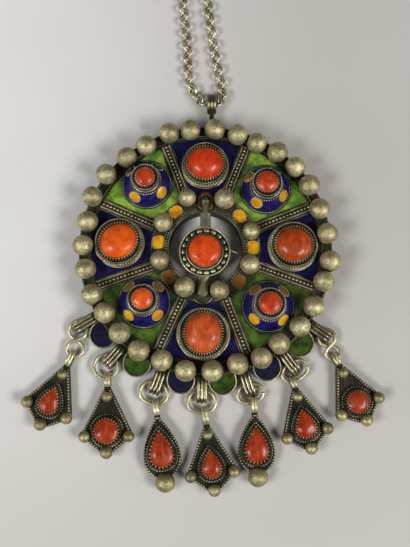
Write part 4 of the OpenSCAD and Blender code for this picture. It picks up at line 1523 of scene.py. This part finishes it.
@dataclass
class JumpRing:
    """A ring that carries a drop: its strap, form, width, height and lean, and where the drop's eye sits.

    lower is the height of a second loop and its direction from the first. spans holds where each form of
    ring starts, how far it runs, both in degrees, and how far it climbs.
    """

    number: int
    strap: float
    link: Link
    width: float
    height: float
    lean: float
    eye_at: float = 0.0
    lower: Pair | None = None
    wire: float = 0.6
    fuller: float = 1.2
    double_wire: float = 0.58
    tight: float = 0.95
    spans: tuple[tuple[Link, Triple], ...] = (
        (Link.CLOSED, (0.0, 360.0, 0.0)),
        (Link.OPEN, (100.0, 338.0, 0.0)),
        (Link.DOUBLE, (20.0, 700.0, 0.42)),
    )
    step: float = 9.0
    spring: float = 0.3
    eight_climb: float = 0.5
    eight_drop: Pair = (0.1, 0.3)

    @property
    def radius(self) -> float:
        """Radius of the wire's middle at the ring's round ends."""
        return self.height / 2 - self.wire

    @property
    def turn(self) -> float:
        """Direction of the ring, away from the disc."""
        return self.strap + self.lean

    @property
    def middle(self) -> np.ndarray:
        """Middle of the ring."""
        return polar(self.strap, RING_START) + polar(self.turn, self.radius)

    @property
    def lower_radius(self) -> float:
        """Radius of the wire's middle in the second loop."""
        return self.lower[0] / 2 - self.wire

    @property
    def lower_middle(self) -> np.ndarray:
        """Middle of the second loop."""
        return self.middle + polar(self.strap + self.lower[1], self.radius + self.lower_radius)

    def eye(self, drop_turn: float) -> np.ndarray:
        """Gives the place of the eye of the drop that it carries."""
        if self.lower:
            return self.lower_middle + polar(drop_turn - 90, self.lower_radius)
        slant = math.radians(abs(self.eye_at - self.turn))
        flat_side = (self.width - self.height) / 2
        reach = self.radius / math.cos(slant)
        if self.radius * math.tan(slant) > flat_side:
            off = flat_side * math.cos(slant)
            reach = flat_side * math.sin(slant) + math.sqrt(self.radius ** 2 - off ** 2)
        return self.middle + polar(self.eye_at, reach)

    def line(self) -> Path:
        """Gives the middle of its wire."""
        if self.link is Link.EIGHT:
            return self._eight()
        flat_side = (self.width - self.height) / 2
        start, sweep, climb = dict(self.spans)[self.link]
        closed = self.link is Link.CLOSED
        turns = np.radians(start + np.linspace(0, sweep, int(sweep / self.step) + 1, endpoint=not closed))
        x, y = self.radius * np.cos(turns), self.radius * np.sin(turns)
        y = y + flat_side * np.clip(y / self.radius * 1.6, -1, 1)
        z = RING_Z + climb * np.linspace(-1, 1, len(turns))
        if self.link is Link.OPEN:
            z = z + self.spring * np.linspace(-1, 1, len(turns)) ** 3
        return Path(placed(np.stack([x, y, z], axis=1), self.middle, self.turn), closed)

    def _eight(self) -> Path:
        """Gives the middle of a wire that runs round both loops and crosses itself between them."""
        way = self.strap + self.lower[1]
        radii = self.tight * self.radius, self.tight * self.lower_radius
        upper = self.middle - polar(way, self.radius - radii[0])
        lower = self.lower_middle + polar(way, self.lower_radius - radii[1])
        leave = math.degrees(math.acos(sum(radii) / float(np.hypot(*(lower - upper)[:2]))))
        around = np.linspace(leave, 360 - leave, 30)
        climb = self.eight_climb * np.cos(np.radians(around / 2))
        first, second = (RING_Z - drop for drop in self.eight_drop)
        line = [upper + polar(way + a, radii[0], first + c) for a, c in zip(around, climb)]
        line += [lower + polar(way + 180 - a, radii[1], second - c) for a, c in zip(around, climb)]
        return Path(np.array(line), True)

    def build(self, palette: Palette) -> None:
        """Builds the ring."""
        stock = Stock()
        wire = self.double_wire if self.link is Link.DOUBLE else self.wire * self.fuller
        stock.tube(self.line(), wire, FULL_SIDES)
        stock.made(f"bent_ring_{self.number}", palette.wire, "wire_silver",
                   replaces=(f"jump_ring_{self.number}",))


@dataclass
class Drop:
    """A drop: its form, turn, length, half size of its stone, how far it hangs under its eye, and its ring.

    A ball of a kite is given as its place and radius, and the ball of a tear as its place along, height and
    radius. A rope of a kite is given as its distance from the edge, width and rise. A row or rope round the
    stone is given as its growth against the stone and its height. stone_down is where the stone of a tear, a
    round one and a pear-shaped one of a kite lie.
    """

    number: int
    kind: Kind
    turn: float
    scale: float
    half: Pair
    hang: float
    ring: JumpRing
    round_stone: bool = False
    top: float = 3.3
    stone_down: Triple = (-12.4, -16.4, -14.6)
    ball_grow: Pair = (1.02, 1.05)
    ball_dent: float = 0.02
    kite_half: tuple[Pair, ...] = ((1.1, -1.6), (9.2, -18.0), (0.0, -25.6))
    kite_balls: tuple[Triple, ...] = ((0, -4.6, 1.75), (7.7, -18.3, 2.0), (-7.7, -18.3, 2.0), (0, -23.8, 2.1))
    kite_ball_z: float = 4.1
    kite_ball_fill: float = 1.02
    kite_ropes: tuple[Triple, ...] = ((0.45, 0.95, 0.15), (1.6, 0.7, 0.1), (2.45, 0.6, 0.1))
    tear_half: Pair = (6.5, 10.6)
    tear_y: float = -11.9
    tear_ball: Triple = (-23.8, 3.45, 3.3)
    tear_ball_fill: float = 1.015
    tear_ropes: Pair = (0.35, 1.25)
    tear_rope: float = 0.65
    tear_rope_rise: float = 0.15
    tear_taper: float = 1.3
    border_row: Pair = (0.85, 1.0)
    border_wear: float = 0.36
    grains_within: float = 1.0
    stone_row: Pair = (1.15, 3.5)
    stone_rope: Pair = (0.62, 5.05)
    teeth: int = 25
    teeth_at: Pair = (0.42, 4.9)
    tooth: Triple = (0.66, 0.5, 1.4)
    tooth_lean: float = 36.0
    gap_at: Pair = (0.3, 5.27)
    gap_wire: float = 0.42
    gap_flat: float = 0.4
    eye_z: float = 2.0
    eye_r: float = 1.75
    eye_foot: float = -1.1
    eye_wires: Pair = (-0.55, 0.55)
    eye_wire: float = 0.64
    girdle: float = 0.5
    lump: float = 0.04
    power: float = 2.1

    @property
    def stone_y(self) -> float:
        """Place of the stone under the eye."""
        in_tear, round_one, pear = self.stone_down
        if self.kind is Kind.TEAR:
            return in_tear * self.scale
        return (round_one if self.round_stone else pear) * self.scale

    def place(self, points: np.ndarray) -> np.ndarray:
        """Takes points from the drop, drawn under its neck, to where it lies."""
        return placed(points - (0.0, self.hang, 0.0), self.ring.eye(self.turn), self.turn)

    def stone_line(self, grow: float, z: float) -> Path:
        """Gives the outline of the stone where it lies, grown a little, at height z."""
        shape = oval if self.round_stone else tear
        return Path(self.place(shape(self.half[0] + grow, self.half[1] + grow) + (0, self.stone_y, z)), True)

    def build(self, palette: Palette) -> None:
        """Builds the borders, the bezel's trim, the balls and the stone."""
        trim, balls = Stock(), Stock()
        if self.kind is Kind.KITE:
            self._kite_border(trim)
            rows = [(self.place(np.array([[x * self.scale, y * self.scale, self.kite_ball_z]]))[0],
                     r * self.kite_ball_fill) for x, y, r in self.kite_balls]
        else:
            self._tear_border(trim)
            y, z, r = self.tear_ball
            rows = [(self.place(np.array([[0, y * self.scale, z]]))[0], r * self.tear_ball_fill)]
        balls.balls(rows, 20 + self.number, self.ball_grow, self.ball_dent)
        middle = self.place(np.array([[0, self.stone_y, 0.0]]))[0]
        trim.granules(self.stone_line(*self.stone_row), 0.75, 0.92, HIGH_GRAIN)
        trim.rope(self.stone_line(*self.stone_rope), 0.6, -TWIST)
        trim.teeth(self.stone_line(*self.teeth_at), middle, self.teeth, self.tooth, self.tooth_lean)
        # A near-black ring in the gap between the stone and its teeth: painted shade
        gap = Stock()
        gap.add(tube_shape(self.stone_line(*self.gap_at), self.gap_wire, THIN_SIDES, self.gap_flat))
        gap.made(f"drop_gap_{self.number}", palette.gap_shade, "dark_silver")
        trim.made(f"drop_trim_{self.number}", palette.drop_trim, "dark_silver")
        balls.made(f"drop_balls_{self.number}", palette.drop_balls, "dark_silver")
        self._eye(palette)
        self._stone(palette)

    def _eye(self, palette: Palette) -> None:
        """Builds the two bright wires that run over the eye and down to the drop."""
        wires = Stock()
        turns = np.radians(np.linspace(90.0, -55.0, 11))
        along = np.concatenate([[self.eye_foot, self.hang * 0.5], self.hang + self.eye_r * np.cos(turns)])
        height = self.eye_z + np.concatenate([[self.eye_r] * 2, self.eye_r * np.sin(turns)])
        sideways = placed(np.array([[1.0, 0.0, 0.0]]), np.zeros(3), self.turn)[0]
        for across in self.eye_wires:
            line = np.stack([np.full(len(along), across), along, height], axis=1)
            wires.tube(Path(self.place(line), up=tuple(sideways)), self.eye_wire, FULL_SIDES)
        wires.made(f"drop_eye_{self.number}", palette.wire, "dark_silver")

    def _stone(self, palette: Palette) -> None:
        """Builds the stone."""
        node = f"drop_coral_{self.number}"
        low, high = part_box(node)
        outline = (oval if self.round_stone else tear)(*self.half)
        stone = Stock()
        place = turned(self.place(np.array([[0, self.stone_y, low.z / MM]]))[0], self.turn)
        stone.add(cabochon(outline, (high.z - low.z) / MM, self.girdle, self.lump, 7.0 + self.number,
                           self.power), place)
        stone.made(f"drop_cabochon_{self.number}", palette.drop_coral, "drop_coral", replaces=(node,))

    def _kite_border(self, trim: Stock) -> None:
        """Adds a row of grains and ropes along the sides of a kite."""
        neck, side, point = (np.array([x, y, 0.0]) for x, y in self.kite_half)
        mirror = np.array([-1.0, 1.0, 1.0])
        outline = np.array([neck * mirror, side * mirror, point, side, neck]) * self.scale
        for step, width, rise in self.kite_ropes:
            ring = inset(outline, step) + (0, 0, self.top + rise)
            for a, b in zip(ring, ring[1:]):
                self._border(trim, Path(self.place(np.array([a, b]))), step, width)

    def _tear_border(self, trim: Stock) -> None:
        """Adds a row of grains and a rope round a tear."""
        middle = np.array([0.0, self.tear_y * self.scale, 0.0])
        for step in self.tear_ropes:
            line = tear(self.tear_half[0] - step, self.tear_half[1] * self.scale - step * self.tear_taper)
            path = Path(self.place(line + middle + (0, 0, self.top + self.tear_rope_rise)), True)
            self._border(trim, path, step, self.tear_rope)

    def _border(self, trim: Stock, path: Path, step: float, width: float) -> None:
        """Adds one line of a border: grains where it is the outermost one, or else a rope."""
        if step < self.grains_within:
            trim.granules(path, *self.border_row, HIGH_GRAIN)
        else:
            trim.rope(path, width, wear=self.border_wear)


# The chain

@dataclass
class Strand:
    """One side of the chain, its links threaded one through the next along a smooth route."""

    name: str
    node: str
    route: tuple[Triple, ...]
    link_r: float = 1.775
    wire: float = 0.375
    fuller: float = 1.35
    pitch: float = 2.62
    steps: int = 8
    around: int = 20
    sides: int = 8

    def curve(self) -> Path:
        """Gives the smooth line through the route."""
        stops = np.array(self.route)
        last = len(stops) - 1
        line = []
        for i in range(last):
            p0, p1, p2, p3 = stops[max(i - 1, 0)], stops[i], stops[i + 1], stops[min(i + 2, last)]
            for t in np.arange(self.steps) / self.steps:
                line.append(0.5 * (2 * p1 + (p2 - p0) * t + (2 * p0 - 5 * p1 + 4 * p2 - p3) * t ** 2
                                   + (3 * p1 - p0 - 3 * p2 + p3) * t ** 3))
        return Path(np.array(line + [stops[last]]))

    def build(self, palette: Palette) -> None:
        """Builds every link of the strand as one piece."""
        line = self.curve()
        count = round(line.length() / self.pitch)
        joints = line.at(np.linspace(0, line.length(), count + 1))
        ahead = joints[1:] - joints[:-1]
        ahead /= np.linalg.norm(ahead, axis=1, keepdims=True)
        flat = np.cross(np.array([0.0, 0.0, 1.0]), ahead)
        flat /= np.linalg.norm(flat, axis=1, keepdims=True)
        side = np.where(np.arange(count) % 2 == 0, 1.0, -1.0)[:, None]
        across = (flat + side * np.cross(ahead, flat)) / math.sqrt(2)
        stock = Stock()
        ring = ring_shape(self.fuller * self.wire / self.link_r, self.around, self.sides)
        x, y, z = (axis * self.link_r for axis in (ahead, across, np.cross(ahead, across)))
        stock.add(ring, stacked(x, y, z, (joints[1:] + joints[:-1]) / 2))
        stock.made(self.name, palette.chain, "wire_silver", replaces=(self.node,))


# Light, table and camera

@dataclass(frozen=True)
class Window:
    """A soft light: its place and size in metres, its power in watts and its colour."""

    name: str
    at: Triple
    size: Pair
    power: float
    colour: Triple

    def build(self, aim: Triple) -> None:
        """Adds the light, turned to a point."""
        data = bpy.data.lights.new(self.name, "AREA")
        data.shape = "RECTANGLE"
        data.size, data.size_y = self.size
        data.energy = self.power
        data.color = self.colour
        lamp = bpy.data.objects.new(self.name, data)
        lamp.location = self.at
        lamp.rotation_euler = (Vector(aim) - Vector(self.at)).to_track_quat("-Z", "Y").to_euler()
        bpy.context.scene.collection.objects.link(lamp)


@dataclass
class Studio:
    """The pale table, the soft lights and the camera, in metres."""

    camera_at: Triple = (-0.0002, -0.0564, 0.2720)
    camera_tilt: float = 10.0
    sensor: float = 36.0
    focal: float = 36.0 * 750.0 / 547.0
    near: float = 0.01
    aim: Triple = (0.0, -0.02, 0.0)
    windows: tuple[Window, ...] = (
        Window("right_window", (0.57, -0.34, 0.66), (0.42, 0.26), 5.0, (1.0, 0.97, 0.93)),
        Window("left_window", (-0.55, -0.34, 0.67), (0.4, 0.26), 4.2, (1.0, 0.985, 0.96)),
        Window("right_strip", (0.8, -0.26, 0.26), (0.3, 0.14), 0.75, (1.0, 0.97, 0.93)),
        Window("left_strip", (-0.8, -0.26, 0.26), (0.3, 0.14), 0.7, (1.0, 0.985, 0.96)),
    )
    room: float = 0.08
    room_colour: Quad = (0.9, 0.9, 0.9, 1.0)
    table: float = 0.9
    # Table colours: the dimmer and the lighter end of the light painted across it, each from its lower to its
    # upper edge
    dim_floor_low: Triple = (0.60, 0.59, 0.57)
    dim_floor_high: Triple = (0.65, 0.64, 0.63)
    lit_floor_low: Triple = (0.87, 0.88, 0.88)
    lit_floor_high: Triple = (0.96, 0.96, 0.955)

    def build(self) -> None:
        """Builds them."""
        self._camera()
        self._table()
        for window in self.windows:
            window.build(self.aim)
        world = bpy.data.worlds.new("room")
        world.use_nodes = True
        background = world.node_tree.nodes["Background"]
        background.inputs["Color"].default_value = self.room_colour
        background.inputs["Strength"].default_value = self.room
        bpy.context.scene.world = world
        bpy.context.scene.view_settings.view_transform = "Standard"

    def _camera(self) -> None:
        """Sets the camera where the picture was taken from."""
        data = bpy.data.cameras.new("picture_camera")
        data.sensor_width = self.sensor
        data.sensor_fit = "AUTO"
        data.lens = self.focal
        data.clip_start = self.near
        camera = bpy.data.objects.new("picture_camera", data)
        camera.location = self.camera_at
        camera.rotation_euler = (math.radians(self.camera_tilt), 0.0, 0.0)
        bpy.context.scene.collection.objects.link(camera)
        bpy.context.scene.camera = camera

    def _table(self) -> None:
        """Builds the table top."""
        bm = bmesh.new()
        bmesh.ops.create_grid(bm, x_segments=2, y_segments=2, size=self.table)
        mesh = bpy.data.meshes.new("table_top")
        bm.to_mesh(mesh)
        bm.free()
        table = bpy.data.objects.new("table_top", mesh)
        bpy.context.scene.collection.objects.link(table)
        r = Recipe("pale_table")
        fibre = r.noise(1.2, 3.0)
        # Painted light: the table's colour is lighter towards the left, more so in the upper part, and a
        # little lighter towards the top, in soft clouds
        left = (r.axis("X") * -1.0).between(-0.05, 0.09)
        upper = r.axis("Y").between(-0.12, 0.01)
        top = r.axis("Y").between(0.01, 0.12)
        cloud = 0.8 + 0.4 * r.noise(60.0, 3.0)
        r.finish(
            Base_Color=r.mix(left * (0.15 + 0.85 * upper) * cloud,
                             r.mix(top, self.dim_floor_low, self.dim_floor_high),
                             r.mix(top, self.lit_floor_low, self.lit_floor_high)),
            Roughness=0.75,
            Normal=r.bump(fibre, 0.25, 0.1),
        )
        mesh.materials.append(r.material)


def clear_start() -> None:
    """Removes what a new file holds before anything is built."""
    kept = set(frame["nodes"].values()) | set(frame["bodies"].values())
    for stray in [o for o in bpy.data.objects if o not in kept]:
        bpy.data.objects.remove(stray)


def large_corals() -> list[LargeCoral]:
    """Lists the four large corals."""
    return [
        LargeCoral(Side.N, (-0.1, 30.9), 8.4, (6.9, 6.3), 0.0),
        LargeCoral(Side.E, (31.7, 0.5), 8.8, (6.8, 6.5), 0.0),
        LargeCoral(Side.S, (-0.8, -31.2), 9.2, (6.7, 7.5), 0.0, teeth=48),
        LargeCoral(Side.W, (-31.3, 1.8), 8.8, (7.1, 6.4), 40.0, lump=0.035),
    ]


def domes() -> list[Dome]:
    """Lists the four domes."""
    return [
        Dome(Side.NE, (22, 22), 8.9, 4.1, 60),
        Dome(Side.SE, (22.4, -21.4), 9.1, 4.2, 43),
        Dome(Side.SW, (-22, -19.9), 9.1, 3.9, 45),
        Dome(Side.NW, (-21.6, 23.8), 8.8, 3.7, 55),
    ]


def jump_rings() -> list[JumpRing]:
    """Lists the seven rings that carry the drops."""
    return [
        JumpRing(1, STRAPS[0], Link.EIGHT, 8.2, 8.2, 10, lower=(7.2, 50)),
        JumpRing(2, STRAPS[1], Link.DOUBLE, 9.7, 9.7, 1, -79),
        JumpRing(3, STRAPS[2], Link.CLOSED, 11, 8.9, 0, -79),
        JumpRing(4, STRAPS[3], Link.CLOSED, 11, 8.8, 0, -73),
        JumpRing(5, STRAPS[4], Link.OPEN, 10.4, 7.6, -1, -66),
        JumpRing(6, STRAPS[5], Link.OPEN, 10.8, 7.6, -4, -99),
        JumpRing(7, STRAPS[6], Link.EIGHT, 7.3, 7.3, -2, lower=(6.4, -34)),
    ]


def drops(rings: list[JumpRing]) -> list[Drop]:
    """Lists the seven drops on their rings."""
    kite, drip = Kind.KITE, Kind.TEAR
    return [
        Drop(1, kite, -22.5, 0.98, (3.5, 5.1), 2.6, rings[0]),
        Drop(2, kite, 0.5, 1.0, (4.5, 4.5), 1.9, rings[1], True),
        Drop(3, drip, 7.8, 1.02, (4.3, 6.6), 2.4, rings[2]),
        Drop(4, kite, 7, 0.99, (3.5, 5.1), 2.9, rings[3]),
        Drop(5, drip, 2.2, 0.97, (4.3, 6.5), 2.6, rings[4]),
        Drop(6, kite, 14, 0.95, (3.8, 5.2), 0.9, rings[5]),
        Drop(7, kite, 25, 0.95, (4.1, 4.1), 0.9, rings[6], True),
    ]


# Routes of the chain's two strands, from the bail to the back of the neck
LINK_Z = 1.68
LEFT_ROUTE = (
    (0.9, 55.9, 3.6), (-1.6, 57, 3.1), (-3.2, 59.3, 2.2),
    (-4.7, 62, LINK_Z), (-6, 64.8, LINK_Z), (-6.6, 68, LINK_Z), (-6.8, 74, LINK_Z), (-7, 80, LINK_Z),
    (-7.4, 85, LINK_Z), (-8, 91, LINK_Z), (-8.7, 96.4, LINK_Z),
    (-10, 104, LINK_Z), (-17, 122, LINK_Z), (-31, 143, LINK_Z), (-44, 166, LINK_Z), (-47, 190, LINK_Z),
    (-40, 213, LINK_Z), (-25, 230, LINK_Z), (-6.2, 236, LINK_Z),
)
RIGHT_ROUTE = (
    (0.9, 55.9, 3.6), (4.3, 55.5, 3.85), (4.8, 56, 3.68), (6.8, 59.9, 2.06), (6.4, 61.3, 1.87),
    (5.5, 67.6, LINK_Z), (4.8, 70.5, LINK_Z), (3.7, 76.3, LINK_Z), (2.9, 82.2, LINK_Z), (2.1, 88, LINK_Z),
    (1.5, 94, LINK_Z), (1.4, 101, LINK_Z), (6, 118, LINK_Z), (20, 140, LINK_Z), (34, 163, LINK_Z),
    (39, 188, LINK_Z), (32, 213, LINK_Z), (17, 230, LINK_Z), (-1.8, 236, LINK_Z),
)


def dress_nodes(palette: Palette) -> None:
    """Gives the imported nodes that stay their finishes."""
    palette.dress("disc_body", palette.body)
    palette.dress("tongue", palette.pin)
    palette.dress("clasp", palette.chain)
    palette.dress("yellow_enamel", palette.yellow)
    for side in (Side.N, Side.E, Side.S, Side.W):
        palette.dress(f"blue_enamel_{side.value}", palette.blue)
    for side in (Side.NE, Side.SE, Side.SW, Side.NW):
        palette.dress(f"green_enamel_{side.value}", palette.greens[side])
        palette.dress(f"dome_enamel_{side.value}", palette.dome_blue)
    for number in range(1, 7):
        palette.dress(f"lobe_enamel_{number}", palette.lobe_blue if number % 2 else palette.lobe_green)
    for number in range(1, 8):
        palette.dress(f"drop_{number}", palette.drop)


def main() -> None:
    """Builds every sub-assembly in order."""
    logging.basicConfig(level=logging.INFO, format="%(name)s %(message)s")
    clear_start()
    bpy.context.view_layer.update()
    Studio().build()
    palette = Palette()
    dress_nodes(palette)
    for part in (Rim(), Ribs(), Collar(), *large_corals(), *domes(), Hangers(), Pin()):
        part.build(palette)
    rings = jump_rings()
    for part in (*rings, *drops(rings)):
        part.build(palette)
    Strand("chain_links_left", "chain_left", LEFT_ROUTE).build(palette)
    Strand("chain_links_right", "chain_right", RIGHT_ROUTE).build(palette)


if __name__ == "__main__":
    main()
